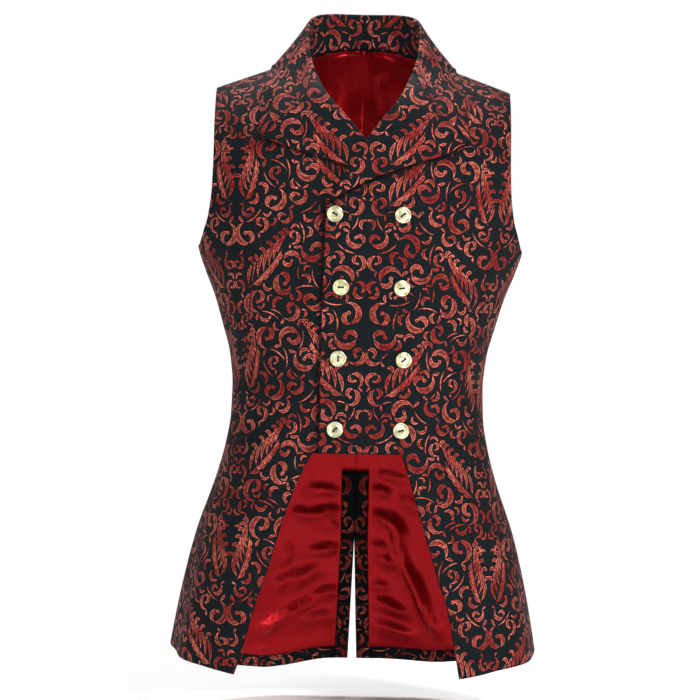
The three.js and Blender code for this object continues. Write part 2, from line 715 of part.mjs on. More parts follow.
function collar() {
  const grid = [];
  const normals = [];
  for (const hand of [-1, 1]) {
    const corners = gorgeCorners(hand);
    const tip = corners[LAPEL_TIP_ROW];
    const turn = rollTurn(hand, LAPEL_TOP);
    const table = COLLAR.map((row) => ({ ...row }));
    const put = (name, { x, y, z }) => Object.assign(table[table.length - 1], {
      [`${name}X`]: hand * x, [`${name}Y`]: y, [`${name}Z`]: z,
    });
    put('seam', turn[0].at);
    put('fold', turn[3].at);
    put('edge', tip);
    const columns = {};
    for (const key of Object.keys(table[0])) columns[key] = along(table, key);
    const half = [];
    const fixed = [];
    for (let i = hand > 0 ? 0 : 1; i <= COLLAR_ROWS; i += 1) {
      const last = i === COLLAR_ROWS;
      const { section, from, edge } = collarSection(hand, i / COLLAR_ROWS, columns);
      const nearGorge = clamp((i / COLLAR_ROWS - 0.6) / 0.4, 0, 1) ** 3;
      const row = last ? endOfStand(turn) : section;
      const kept = row.map((_, j) => (last ? turn[Math.max(j - STAND_COLUMNS + 1, 0)].normal : null));
      for (let j = 1; j <= LAPEL_TIP_ROW; j += 1) {
        const v = j / LAPEL_TIP_ROW;
        const straight = corners[0].clone().lerp(tip, v);
        const point = from.clone().lerp(edge, v)
          .addScaledVector(corners[j].clone().sub(straight), nearGorge);
        row.push(last ? corners[j].clone() : clearOfForm(hand, point));
        kept.push(last ? outwardAt(hand, corners[j]) : null);
      }
      half.push(row);
      fixed.push(kept);
    }
    if (hand < 0) {
      half.reverse();
      fixed.reverse();
    }
    grid.push(...half);
    normals.push(...fixed);
  }
  return sheetWall(trim(grid, everywhere, SEAM), normals, LAPEL_WALL);
}

// Moves a point of the fall out along the form's normal to where the collar lies on the cloth
function clearOfForm(hand, point) {
  const x = hand * point.x;
  const face = point.y < 0 ? -1 : 1;
  const z = Math.min(point.z, ridge(x));
  const { phi, level } = place(x, z);
  const rise = riseOf(phi, level);
  const normal = outward(face, hand * phi, rise);
  const over = hand > 0 && face < 0 ? overlapLift(x, z) : 0;
  const height = over + LAPEL_CLEAR + LAPEL_WALL / 2;
  const distance = point.clone().sub(form(face, hand * phi, rise)).dot(normal);
  return point.addScaledVector(normal, Math.max(height - distance, 0));
}

// Buttons

// Radius as a share of the button's, and height
const BUTTON_PROFILE = [
  [0, 0], [0.84, 0], [1, 0.9], [1, 2.3], [0.92, 3.1], [0.76, 3.1], [0.66, 2.2], [0, 2],
];
const BUTTON_SEAT = 0.35;

function button(x, z) {
  const points = BUTTON_PROFILE.map(([radius, height]) => {
    return new THREE.Vector2(radius * BUTTON_RADIUS, height);
  });
  const geometry = new THREE.LatheGeometry(points, 18);
  const { phi, level } = place(x, z);
  const rise = riseOf(phi, level);
  const normal = outward(-1, phi, rise);
  const height = overlapLift(x, z) + BUTTON_SEAT;
  const seat = form(-1, phi, rise).addScaledVector(normal, height);
  const turn = new THREE.Quaternion().setFromUnitVectors(new THREE.Vector3(0, 1, 0), normal);
  geometry.applyQuaternion(turn);
  geometry.translate(seat.x, seat.y, seat.z);
  return geometry;
}

const group = new THREE.Group();
const cloth = {
  brocade: new THREE.MeshStandardMaterial({ color: 0x3a1a1a, roughness: 0.6 }),
  lining: new THREE.MeshStandardMaterial({ color: 0xa8101a, roughness: 0.35 }),
  metal: new THREE.MeshStandardMaterial({ color: 0xd8d2a0, roughness: 0.3, metalness: 0.9 }),
};
function add(name, geometry, material) {
  const mesh = new THREE.Mesh(geometry, material);
  mesh.name = name;
  group.add(mesh);
}

for (const [hand, word] of [[1, 'left'], [-1, 'right']]) {
  add(`front_${word}`, front(hand), cloth.brocade);
  add(`lapel_${word}`, lapel(hand), cloth.brocade);
  backPieces(hand, word);
}
add('collar', collar(), cloth.brocade);
BUTTONS.forEach(({ z, inner, outer }, i) => {
  add(`button_inner_${i + 1}`, button(inner, z), cloth.metal);
  add(`button_outer_${i + 1}`, button(outer, z), cloth.metal);
});

export default group;
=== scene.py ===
import math

import bpy
import numpy as np
from mathutils import Matrix, Vector, kdtree


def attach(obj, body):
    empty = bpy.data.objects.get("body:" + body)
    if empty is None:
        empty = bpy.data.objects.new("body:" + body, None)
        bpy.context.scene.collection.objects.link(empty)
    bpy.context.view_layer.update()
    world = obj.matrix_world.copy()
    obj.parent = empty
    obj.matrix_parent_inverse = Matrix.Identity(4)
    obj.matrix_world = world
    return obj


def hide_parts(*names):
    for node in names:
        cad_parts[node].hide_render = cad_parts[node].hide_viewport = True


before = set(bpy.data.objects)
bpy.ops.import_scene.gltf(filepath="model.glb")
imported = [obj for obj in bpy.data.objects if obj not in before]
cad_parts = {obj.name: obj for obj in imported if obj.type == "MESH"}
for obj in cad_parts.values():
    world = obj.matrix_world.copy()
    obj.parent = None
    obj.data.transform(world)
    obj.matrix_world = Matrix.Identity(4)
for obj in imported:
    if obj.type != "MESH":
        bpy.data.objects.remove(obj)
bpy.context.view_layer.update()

# A double-breasted brocade waistcoat, worn but with no wearer.
# Lengths are millimetres. Only meshes, camera, floor, lights and the depth of a bump are in metres.
# +Z is up, the front faces -Y and the wearer's left is +X, as in the CAD frame.

# Cloth thicknesses, and the gap between a back and its lining
WALL = 2.0
LINING_WALL = 1.2
LAPEL_WALL = 1.8
LINING_GAP = 0.4

# Heights, measured from where the shoulder line meets the neck
UNDERARM = -208
CUT = -436
BREAK = -163
HEM_FRONT = -679
HEM_SIDE = -656
HEM_BACK = -690
VENT_TOP = -463
VENT_OPEN = -545

# Angle from the centre line to the side seam, and how full the form is between them
SIDE = math.pi / 2
BULGE = 2.3

# Roundness of the shoulder, half width of the neck, and rise of the hem's facing
SHOULDER_ROUND = 100
NECK_HALF = 72
FACING_RISE = 14

# Shoulder line: height at the centre, fall outwards, and the rise beside the neck and its reach
RIDGE_TOP = 34.5
RIDGE_FALL = 0.36
NECK_RISE = 30
NECK_REACH = 75

# Cross-sections of the worn form: height, half width, depth of the front and of the back
LEVELS = [
    (-700, 214, 147, 158),
    (-656, 207, 142, 152),
    (-600, 197, 134, 143),
    (-532, 181, 123, 128),
    (-464, 158, 111, 111),
    (-430, 149, 105, 102),
    (-396, 143.5, 101, 95),
    (-362, 142.5, 99, 92),
    (-327, 146, 101, 94),
    (-293, 155, 105, 99),
    (-260, 165, 110, 106),
    (-235, 175, 114, 112),
    (-208, 184, 116, 116),
    (-160, 191, 116, 119),
    (-130, 193, 114, 118),
    (-40, 193, 92, 103),
    (0, 193, 64, 88),
    (40, 193, 44, 66),
    (90, 193, 40, 60),
]

# Folds that open towards the hem: face, hand, angle and spread in degrees, depth at the hem, top
FOLDS = [
    (-1, 1, 66, 8, 4.5, -430),
    (-1, 1, 50, 6, -3, -500),
    (-1, -1, 62, 7, 4, -460),
    (-1, -1, 76, 6, -3, -420),
    (1, 1, 62, 9, 6, -400),
    (1, 1, 40, 8, -6, -440),
    (1, 1, 20, 7, 4, -480),
    (1, -1, 68, 8, 5, -420),
    (1, -1, 46, 9, -6.5, -400),
    (1, -1, 24, 8, 4.5, -460),
]

# Edges seen from the front: height, distance from the centre for the wearer's left and right
SKIRT_EDGE = [
    (-679, 117, 130),
    (-662, 114, 124),
    (-610, 104, 110),
    (-560, 88, 94),
    (-510, 72, 79.5),
    (-462, 57.5, 62),
    (-436, 49, 49),
]
OVERLAP_EDGE = [
    (-436, -42.3, -38),
    (-355, -41.8, -38),
    (-267, -41.3, -38),
    (-163, -38.8, -37),
]
ROLL_LINE = [
    (-163, -38.8, -37),
    (-127, -17.6, -22),
    (-92, 4.7, -4.7),
    (-74, 17, 9.5),
    (-54, 33, 27.5),
    (-37, 42.6, 41),
    (-10, 53.9, 54),
    (3, 60, 60),
    (8.7, 72, 72),
]

# Lapel outlines: x and height on the wearer's left, then on the right
GORGE = [
    (57.7, -12, 57.7, -12),
    (61.5, -27, 60.5, -30),
    (68, -45, 66, -49),
    (81, -59, 84, -63),
    (104, -78, 101, -77),
    (118.8, -89, 112, -90),
]
LAPEL_EDGE = [
    (118.8, -89, 112, -90),
    (92, -105, 90, -96.5),
    (53.6, -118.5, 57.6, -107),
    (6.7, -137.2, 14.5, -121),
    (-36, -161, -33, -158),
]

# Height and x
ARMHOLE = [
    (-208, 184),
    (-204, 181.3),
    (-190, 176.5),
    (-174, 171.5),
    (-142, 167.5),
    (-105, 166.5),
    (-60, 167),
    (-25.6, 167),
]
# x and height
BACK_NECK = [(0, 27), (25, 25), (46, 19), (63, 12.5), (72, 8.7)]

# Collar from the centre back to the gorge: neck seam, fold and outer edge, x y z each
COLLAR = [
    (0, 54.3, 27.8, 0, 50, 66, 0, 84, 2),
    (24.4, 45.8, 25.8, 25, 46, 66, 38, 76, 1),
    (44.9, 32.8, 19.9, 45, 35, 64, 71, 54, 1),
    (61.7, 14.7, 13.6, 58, 18, 57, 92, 27, 1),
    (70.6, 0, 10, 62, 0, 45, 103, -4, -1),
    (66, -14, 7, 62, -14, 31, 108, -36, -22),
    (62, -28, 4, 61, -27, 16, 113, -60, -44),
    (59, -39, -3, 58, -40, 2, 116, -78, -67),
]

# Height, x of the inner and of the outer button, and the turn of their threads in degrees
BUTTONS = [
    (-173, -28, 45, -30, 40),
    (-252, -20.5, 45.5, 0, 4),
    (-331, -22, 49, 90, 38),
    (-410, -24, 47.5, 42, 14),
]


# Interpolation


def mix(a, b, t):
    return a + (b - a) * t


def smooth(low, high, value):
    t = np.clip((value - low) / (high - low), 0, 1)
    return t * t * (3 - 2 * t)


def curve(x, y):
    """Smooth curve through points, with no overshoot."""
    x, y = np.array(x, float), np.array(y, float)
    slope = np.diff(y) / np.diff(x)
    product = slope[:-1] * slope[1:]
    total = np.where(product > 0, slope[:-1] + slope[1:], 1)
    bend = np.where(product > 0, 2 * product / total, 0)
    tangent = np.concatenate([slope[:1], bend, slope[-1:]])

    def at(value):
        value = np.clip(value, x[0], x[-1])
        i = np.clip(np.searchsorted(x, value, side="right") - 1, 0, len(x) - 2)
        span = x[i + 1] - x[i]
        t = (value - x[i]) / span
        rest = 1 - t
        ends = y[i] * rest * rest * (1 + 2 * t) + y[i + 1] * t * t * (3 - 2 * t)
        return ends + span * t * rest * (tangent[i] * rest - tangent[i + 1] * t)

    return at


def column(rows, key, value):
    return curve([row[key] for row in rows], [row[value] for row in rows])


def along(rows, value):
    """A column as a curve over equal steps from 0 to 1."""
    return curve(np.linspace(0, 1, len(rows)), [row[value] for row in rows])


# The worn form

half_at = column(LEVELS, 0, 1)
front_at = column(LEVELS, 0, 2)
back_at = column(LEVELS, 0, 3)
SHOULDER_HALF = float(half_at(0))

# Soft troughs (negative) and ridges: start x z, end x z, width, height
CREASES = {
    -1: [
        (-160, -190, -95, -235, 12, -1.1), (-165, -215, -110, -275, 14, -0.9),
        (160, -188, 100, -228, 11, -1.2), (166, -218, 118, -282, 15, -0.8),
        (-150, -330, -85, -318, 10, -0.9), (-148, -352, -92, -362, 12, -0.7),
        (150, -322, 92, -334, 11, -1.0), (150, -350, 100, -372, 12, -0.7),
        (-28, -173, -70, -150, 8, -0.7), (45, -252, 88, -238, 9, -0.8),
        (45, -331, 84, -352, 9, -0.8), (47, -410, 90, -440, 10, -0.9),
        (-120, -470, -150, -660, 18, 1.4), (-165, -500, -190, -650, 16, -1.3),
        (118, -480, 150, -665, 18, 1.3), (160, -480, 186, -640, 15, -1.4),
        (-120, -20, -100, -110, 14, -0.9), (122, -24, 104, -118, 14, -0.8),
        (-60, -215, -110, -300, 16, 0.9), (70, -210, 112, -290, 15, 0.8),
    ],
    1: [
        (-150, -195, -70, -225, 14, -1.3), (150, -200, 62, -238, 15, -1.2),
        (-145, -320, -60, -338, 12, -1.1), (148, -330, 70, -318, 12, -1.2),
        (-120, -60, -40, -95, 16, -0.9), (118, -70, 46, -88, 15, -0.8),
        (-70, -440, -95, -640, 20, 1.4), (66, -450, 90, -650, 18, 1.3),
        (-140, -460, -172, -640, 17, -1.4), (142, -455, 176, -650, 17, -1.3),
        (10, -290, -30, -410, 13, -0.8),
    ],
}

# Wrinkles of the lining, above the back's inner side, listed the same way
LINING_CREASES = [
    (22, -466, 68, -474, 3.5, 1.3), (22, -482, 42, -491, 4.5, 1.8), (24, -510, 50, -533, 5, 2.2),
    (46, -527, 60, -574, 5, 2.6), (56, -566, 82, -615, 5.5, 3.0), (76, -603, 106, -664, 6, 2.8),
    (40, -510, 64, -546, 5.5, 1.8), (22, -551, 42, -557, 4.5, 1.7), (24, -562, 52, -578, 5, 1.9),
    (23, -600, 42, -603, 4.5, 1.6), (25, -616, 66, -637, 5.5, 2.2), (25, -647, 78, -663, 6, 1.6),
    (71, -580, 96, -636, 7, 1.8), (54, -492, 82, -511, 7, 1.2), (-60, -485, -16, -487, 5, 1.6),
    (-74, -511, -52, -518, 5, 2.0), (-58, -518, -16, -508, 5, 2.0),
    (-44, -519, -18, -535, 6, 1.2), (-54, -562, -15, -554, 5, 2.0),
    (-78, -606, -38, -576, 7, 1.6), (-48, -617, -16, -604, 5, 1.8),
    (-118, -659, -70, -633, 5, 2.6), (-78, -637, -46, -621, 5, 2.3),
    (-82, -647, -18, -638, 7, 1.4), (-100, -608, -64, -583, 7, 1.6),
    (-90, -580, -74, -550, 8, 1.3), (-30, 12, -40, -66, 7, 1.3), (26, 16, 33, -58, 7, 1.1),
    (-62, -118, -18, -150, 8, 1.4), (58, -108, 26, -162, 8, 1.3), (-82, -200, -18, -232, 9, 1.5),
    (76, -214, 14, -262, 9, 1.5), (-92, -300, -28, -332, 8, 1.6), (86, -310, 24, -346, 8, 1.5),
    (-70, -398, -12, -424, 9, 1.5), (64, -388, 12, -430, 8, 1.4),
]
# They are raised by this factor, and fade out this near the lining's border
LINING_RELIEF = 4.0
LINING_FADE = 6

# Shares of a crease's length over which it rises and falls
CREASE_RISE = (-0.12, 0.35)
CREASE_FALL = (1.12, 0.6)
# Depth in y over which creases fade in from the side seam
CREASE_FADE = 30
# Degrees from the centre line over which folds fade in, and out again at the side
FOLD_IN = (0, 8)
FOLD_OUT = (90, 80)


def ridge(x):
    """Height of the shoulder line."""
    away = np.abs(x)
    rise = NECK_RISE * (1 - np.minimum(away / NECK_REACH, 1) ** 2) ** 2
    return RIDGE_TOP - RIDGE_FALL * away + np.where(away < NECK_REACH, rise, 0)


def fold_depth(face, phi, z):
    degrees = np.abs(phi) * 180 / math.pi
    hand = np.where(phi < 0, -1, 1)
    depth = np.zeros(np.broadcast(phi, z).shape)
    for side, at_hand, at, spread, deep, top in FOLDS:
        here = (face == side) & (hand == at_hand)
        swell = deep * smooth(top, HEM_BACK, z) * np.exp(-(((degrees - at) / spread) ** 2))
        depth += np.where(here, swell, 0)
    return depth * smooth(*FOLD_OUT, degrees) * smooth(*FOLD_IN, degrees)


def pressed(rows, x, z):
    """Height of the creases of a table at places seen from the front."""
    depth = np.zeros(np.broadcast(x, z).shape)
    for x0, z0, x1, z1, width, deep in rows:
        dx, dz = x1 - x0, z1 - z0
        t = ((x - x0) * dx + (z - z0) * dz) / (dx * dx + dz * dz)
        on = np.clip(t, 0, 1)
        gap = np.hypot(x - x0 - on * dx, z - z0 - on * dz)
        taper = smooth(*CREASE_RISE, t) * smooth(*CREASE_FALL, t)
        depth += deep * taper * np.exp(-((gap / width) ** 2))
    return depth


def crease_depth(face, x, z):
    return sum(np.where(face == side, pressed(rows, x, z), 0) for side, rows in CREASES.items())


def form(face, phi, rise):
    """Point of the form; face -1 is the front, phi turns from the centre to the side."""
    phi, rise = np.broadcast_arrays(np.asarray(phi, float), np.asarray(rise, float))
    x = half_at(rise) * np.sin(phi)
    shelf = ridge(x) - SHOULDER_ROUND
    turn = np.clip((rise - shelf) / SHOULDER_ROUND, 0, SIDE)
    z = np.where(turn > 0, shelf + SHOULDER_ROUND * np.sin(turn), rise)
    depth = np.where(face < 0, front_at(z), back_at(z))
    flat = np.maximum(1 - np.abs(np.sin(phi)) ** BULGE, 0) ** (1 / BULGE)
    y = face * depth * flat * np.cos(turn)
    crease = crease_depth(face, x, z) * smooth(0, CREASE_FADE, np.abs(y))
    out = fold_depth(face, phi, z) + crease
    swell = 1 + out / np.maximum(np.hypot(x, y), 1)
    return np.stack([x * swell, y * swell, z], axis=-1)


def top_rise(phi):
    return ridge(SHOULDER_HALF * np.sin(phi)) + SHOULDER_ROUND * (SIDE - 1)


def unit(v):
    return v / np.maximum(np.linalg.norm(v, axis=-1, keepdims=True), 1e-12)


# Steps in angle and height that an outward direction is found with, and its distance from the top
TURN_STEP = 1e-3
RISE_STEP = 0.1
BELOW_TOP = 0.3


def outward(face, phi, rise):
    """Direction that points out of the form."""
    angle = np.clip(phi, TURN_STEP - SIDE, SIDE - 2 * TURN_STEP)
    height = np.minimum(rise, top_rise(angle) - BELOW_TOP)
    across = form(face, angle + TURN_STEP, height) - form(face, angle - TURN_STEP, height)
    up = form(face, angle, height + RISE_STEP) - form(face, angle, height - RISE_STEP)
    face = np.asarray(face)[..., None] if np.ndim(face) else face
    return unit(-face * np.cross(across, up))


# Length of one level below the underarm
LEVEL_SPAN = 300


def level_of(phi, rise):
    span = np.where(rise > UNDERARM, top_rise(phi) - UNDERARM, LEVEL_SPAN)
    return (rise - UNDERARM) / span


def rise_of(phi, level):
    span = np.where(level > 0, top_rise(phi) - UNDERARM, LEVEL_SPAN)
    return UNDERARM + level * span


def place(x, z):
    """Front view place (x, z) as an angle and a level from underarm 0 to shoulder 1."""
    x, z = np.broadcast_arrays(np.asarray(x, float), np.asarray(z, float))
    shelf = ridge(x) - SHOULDER_ROUND
    lift = np.clip((z - shelf) / SHOULDER_ROUND, 0, 1)
    rise = np.where(z <= shelf, z, shelf + SHOULDER_ROUND * np.arcsin(lift))
    phi = np.arcsin(np.clip(x / half_at(rise), -1, 1))
    return np.stack([phi, level_of(phi, rise)], axis=-1)


def on_side(z):
    z = np.asarray(z, float)
    phi = np.full(z.shape, SIDE)
    return np.stack([phi, level_of(phi, z)], axis=-1)


def on_form(face, hand, places):
    """Points and outward directions of places."""
    phi = hand * places[..., 0]
    rise = rise_of(places[..., 0], places[..., 1])
    return form(face, phi, rise), outward(face, phi, rise)


# Flat cloth coordinates: arc length across from the centre line, and up

# Lowest and highest rise of the arc table, and its number of rises and angles
ARC_RISES = (-700, 70, 156)
ARC_ANGLES = 240


def lengths(grid, axis):
    """Length along each line of a grid, from its start to every point."""
    step = np.linalg.norm(np.diff(grid, axis=axis), axis=-1)
    zero = np.zeros_like(np.take(step, [0], axis=axis))
    return np.concatenate([zero, np.cumsum(step, axis=axis)], axis=axis)


def arc_table(face):
    phi = np.linspace(0, SIDE, ARC_ANGLES)
    rise = np.linspace(*ARC_RISES)
    return phi, rise, lengths(form(face, phi[None, :], rise[:, None]), 1)


def flat_place(table, places):
    """Flat cloth coordinates of places, read from an arc table."""
    phi, rise, arc = table
    at_phi = np.clip(places[..., 0], 0, SIDE) / SIDE * (len(phi) - 1)
    up = rise_of(places[..., 0], places[..., 1])
    at_rise = np.clip((up - rise[0]) / (rise[-1] - rise[0]), 0, 1) * (len(rise) - 1)
    i = np.clip(at_rise.astype(int), 0, len(rise) - 2)
    j = np.clip(at_phi.astype(int), 0, len(phi) - 2)
    a, b = at_rise - i, at_phi - j
    low = mix(arc[i, j], arc[i, j + 1], b)
    high = mix(arc[i + 1, j], arc[i + 1, j + 1], b)
    return np.stack([mix(low, high, a) * np.ones_like(up), up], axis=-1)


# Meshes

# The pattern's tile, its mirror image beside it, and the cells it is drawn in, in millimetres
TILE_WIDTH = 150.0
TILE_HEIGHT = 209.0
CELLS_ACROSS = 3
CELLS_UP = 4
CELL_WIDTH = TILE_WIDTH / CELLS_ACROSS
CELL_HEIGHT = TILE_HEIGHT / CELLS_UP


def cell_of(cloth):
    """Number of the pattern's cell that a flat place falls in."""
    x = np.abs((cloth[:, 0] + TILE_WIDTH) % (2 * TILE_WIDTH) - TILE_WIDTH)
    across = np.clip(x / CELL_WIDTH, 0, CELLS_ACROSS - 1).astype(int)
    up = (cloth[:, 1] % TILE_HEIGHT / CELL_HEIGHT).astype(int) % CELLS_UP
    return up * CELLS_ACROSS + across


# How dark the painted shade along every cloth edge is drawn, and how far from the edge it ends and is
# darkest
EDGE_SHADE = 0.75
EDGE_REACH = (1.7, 0.5)
# Distance given to points that belong to no kept cell
FAR = 99.0
# Share of the thickness over which an edge is rounded, and what is left of it at the very edge
EDGE_ROUND = 0.55
EDGE_LEAST = 0.02


def linked(name, data):
    """A new object in the scene."""
    thing = bpy.data.objects.new(name, data)
    bpy.context.collection.objects.link(thing)
    return thing


def tree_of(points):
    """Search tree for the nearest of many points."""
    tree = kdtree.KDTree(len(points))
    for k, point in enumerate(points):
        tree.insert(point, k)
    tree.balance()
    return tree


def shell(name, outer, inner, keep, weave, looks, inner_look=None):
    """Closed cloth from two grids of points over the kept cells, with a rim between them.

    looks are lists of materials, one for each cell of the pattern or one in all; outer faces
    and rims take the first list, inner ones inner_look.
    """
    rows, columns = outer.shape[:2]
    number = np.arange(rows * columns).reshape(rows, columns)
    under = number + rows * columns
    i, j = np.nonzero(keep)
    top = np.stack([number[i, j], number[i, j + 1], number[i + 1, j + 1], number[i + 1, j]], 1)
    low = np.stack([under[i, j], under[i + 1, j], under[i + 1, j + 1], under[i, j + 1]], 1)
    padded = np.pad(keep, 1)
    rims = []
    for di, dj, a, b in [
        (-1, 0, (0, 1), (0, 0)),
        (1, 0, (1, 0), (1, 1)),
        (0, -1, (0, 0), (1, 0)),
        (0, 1, (1, 1), (0, 1)),
    ]:
        bare = ~padded[i + 1 + di, j + 1 + dj]
        p, q = i[bare], j[bare]
        first, second = (p + a[0], q + a[1]), (p + b[0], q + b[1])
        rims.append(np.stack([number[first], number[second], under[second], under[first]], 1))
    rim = np.concatenate(rims)
    faces = np.concatenate([top, low, rim])
    points = np.concatenate([outer.reshape(-1, 3), inner.reshape(-1, 3)]) / 1000
    used, faces = np.unique(faces, return_inverse=True)
    faces = faces.reshape(-1, 4)
    points = points[used]
    a, b, c, d = (points[faces[:, k]] for k in range(4))
    volume = (a * np.cross(b, c)).sum() + (a * np.cross(c, d)).sum()
    if volume < 0:
        faces = faces[:, ::-1]
    uv = np.concatenate([weave.reshape(-1, 2), weave.reshape(-1, 2)])[used] / 1000
    mesh = bpy.data.meshes.new(name)
    mesh.from_pydata(points.tolist(), [], faces.tolist())
    layer = mesh.uv_layers.new(name="weave")
    layer.data.foreach_set("uv", uv[faces.reshape(-1)].astype(np.float32).ravel())
    look = np.zeros(len(faces), np.int32)
    look[len(top):len(top) + len(low)] = 1 if inner_look is None else inner_look[i, j]
    cell = cell_of(uv[faces].mean(axis=1) * 1000)
    first = 0
    slot = np.zeros(len(faces), np.int32)
    for k, materials in enumerate(looks):
        slot = np.where(look == k, first + (cell if len(materials) > 1 else 0), slot)
        first += len(materials)
        for material in materials:
            mesh.materials.append(material)
    mesh.polygons.foreach_set("material_index", slot.astype(np.int32))
    mesh.polygons.foreach_set("use_smooth", np.ones(len(faces), bool))
    # Painted shade: a dark line along every border of the cloth, kept in the shade attribute that the
    # brocade reads
    edge = EDGE_SHADE * smooth(*EDGE_REACH, border_distance((outer + inner) / 2, keep)).ravel()
    shade = mesh.attributes.new("shade", "FLOAT", "POINT")
    shade.data.foreach_set("value", np.concatenate([edge, edge])[used].astype(np.float32))
    mesh.update()
    return linked(name, mesh)


def border_distance(points, keep):
    """Distance of each point from the nearest border point of the kept cells."""
    rows, columns = points.shape[:2]
    padded = np.pad(keep, 1)
    around = sum(
        padded[a:a + rows, b:b + columns].astype(int) for a in (0, 1) for b in (0, 1)
    )
    tree = tree_of(points[(around > 0) & (around < 4)])
    distance = np.full((rows, columns), FAR)
    for i, j in zip(*np.nonzero(around > 0)):
        distance[i, j] = tree.find(points[i, j])[2]
    return distance


def half_thickness(distance, thickness):
    """Half the cloth's thickness, rounded off towards its borders."""
    turn = 1 - np.clip(distance / (EDGE_ROUND * thickness), 0, 1)
    return thickness / 2 * np.sqrt(np.clip(1 - turn * turn, EDGE_LEAST, 1))


# Distances of a grid's first lines from a cloth edge
EDGE_STEPS = np.array([0, 0.2, 0.6, 1.2, 2.4])
# Points that a row's length is guessed with, and the least length that counts
GUESS = np.linspace(0, 1, 9)[:, None]
LEAST_LENGTH = 12


def spaced(length, count, near_start=False, near_end=False):
    """Shares from 0 to 1 in count steps, close together at the ends that are cloth edges."""
    low = EDGE_STEPS / length if near_start else np.zeros(1)
    high = 1 - EDGE_STEPS[::-1] / length if near_end else np.ones(1)
    inner = count + 1 - len(low) - len(high)
    between = np.linspace(low[-1], high[0], inner + 2)[1:-1]
    return np.concatenate([low, between, high])


def panel_grid(face, hand, sections, inner_count, outer_count):
    """Places of a panel: its rows are given by sections, as (steps, inner, middle, outer)."""
    places, section_of = [], []
    for index, (steps, inner, middle, outer) in enumerate(sections):
        last = index == len(sections) - 1
        for t in steps if last else steps[:-1]:
            start, turn, end = inner(t), middle(t), outer(t)
            row = []
            for a, b, count, ends in (
                (start, turn, inner_count, (True, False)),
                (turn, end, outer_count, (True, True)),
            ):
                line, _ = on_form(face, hand, mix(a, b, GUESS))
                length = max(lengths(line, 0)[-1], LEAST_LENGTH)
                share = spaced(length, count, *ends)[:, None]
                row.append(mix(a, b, share)[:-1] if b is turn else mix(a, b, share))
            places.append(np.concatenate(row))
            section_of.append(index)
    return np.array(places), np.array(section_of)


arcs = {-1: arc_table(-1), 1: arc_table(1)}

armhole_x = column(ARMHOLE, 0, 1)
# Crowds the armhole's points towards the underarm
ARMHOLE_POWER = 1.6


def armhole(t):
    """Place on the armhole from the underarm to the shoulder."""
    z = mix(ARMHOLE[0][0], ARMHOLE[-1][0], t ** ARMHOLE_POWER)
    return on_side(UNDERARM) if t == 0 else place(armhole_x(z), z)


# Fronts


# Rise of the left front over the right one: its height, and where it begins going in and down
OVERLAP_RISE = 3.3
OVERLAP_IN = (105, 52)
OVERLAP_DOWN = (-5, -60)
# More rise over the right lapel, between these heights
LAPEL_RISE = 3
LAPEL_RISE_UP = (-215, -172)
LAPEL_RISE_DOWN = (-15, -85)


def overlap_lift(x, z):
    """Height of the wearer's left front over the right one, with more over the right lapel."""
    over_right_lapel = smooth(*LAPEL_RISE_UP, z) * smooth(*LAPEL_RISE_DOWN, z)
    rise = OVERLAP_RISE * smooth(*OVERLAP_DOWN, z) + LAPEL_RISE * over_right_lapel
    return smooth(*OVERLAP_IN, x) * rise


# Gap under a lapel, and the roll of cloth at the front's edge: radius, reach and start
LAPEL_CLEAR = 1.2
ROLL_RADIUS = (WALL / 2 + LAPEL_CLEAR + LAPEL_WALL / 2) / 2
ROLL_LEAD = 0.9
ROLL_START = 0.45
# Heights of the lapel's top and of the neck's corner, and heights over which the edge sets back
LAPEL_TOP = -12
NECK_CORNER = 3
SETBACK = (BREAK - 6, BREAK + 12)
# The line that parts the inner from the outer columns, up the chest to the shoulder
CHEST_X = 56
CHEST_Z = mix(BREAK, UNDERARM, 0.45)
SHOULDER_X = 108
CHEST_SHARE = 0.75
NECK_CORNER_AT = 2 / 3


def setback(z):
    """How far the front's edge lies behind the roll of its lapel."""
    return (ROLL_LEAD + ROLL_RADIUS + LAPEL_WALL / 2) * smooth(*SETBACK, z)


def by_hand(hand):
    return 1 if hand > 0 else 2


roll_line = {hand: column(ROLL_LINE, 0, by_hand(hand)) for hand in (-1, 1)}


def front_sections(hand):
    """Rows of a front, from the hem to the cut, the break, the lapel's top and the shoulder."""
    skirt = column(SKIRT_EDGE, 0, by_hand(hand))
    overlap = column(OVERLAP_EDGE, 0, by_hand(hand))
    roll = roll_line[hand]

    def on_edge(edge, low, high):
        return lambda t: place(edge(mix(low, high, t)), mix(low, high, t))

    def shoulder(x):
        return place(x, ridge(x))

    def rolled(z):
        return place(roll(z) + setback(z), z)

    def neck(t):
        if t == 1:
            return shoulder(NECK_HALF)
        low = rolled(mix(LAPEL_TOP, NECK_CORNER, min(t / NECK_CORNER_AT, 1)))
        return mix(low, shoulder(NECK_HALF), max(t / NECK_CORNER_AT - 1, 0) * 2)

    def upper(t):
        return mix(place(CHEST_X, CHEST_Z), shoulder(SHOULDER_X), t)

    return [
        (
            spaced(240, 44, near_start=True),
            on_edge(skirt, HEM_FRONT, CUT),
            on_edge(skirt, HEM_FRONT, CUT),
            lambda t: on_side(mix(HEM_SIDE, CUT, t)),
        ),
        (
            spaced(270, 52, near_start=True),
            on_edge(overlap, CUT, BREAK),
            lambda t: place(mix(float(skirt(CUT)), CHEST_X, t), mix(CUT, CHEST_Z, t)),
            lambda t: on_side(mix(CUT, UNDERARM, t)),
        ),
        (
            spaced(150, 40),
            lambda t: rolled(mix(BREAK, LAPEL_TOP, t)),
            lambda t: upper(t * CHEST_SHARE),
            lambda t: armhole(t * CHEST_SHARE),
        ),
        (
            spaced(50, 18, near_end=True),
            neck,
            lambda t: upper(mix(CHEST_SHARE, 1, t)),
            lambda t: armhole(mix(CHEST_SHARE, 1, t)),
        ),
    ]


INNER_COLUMNS = 26
OUTER_COLUMNS = 48
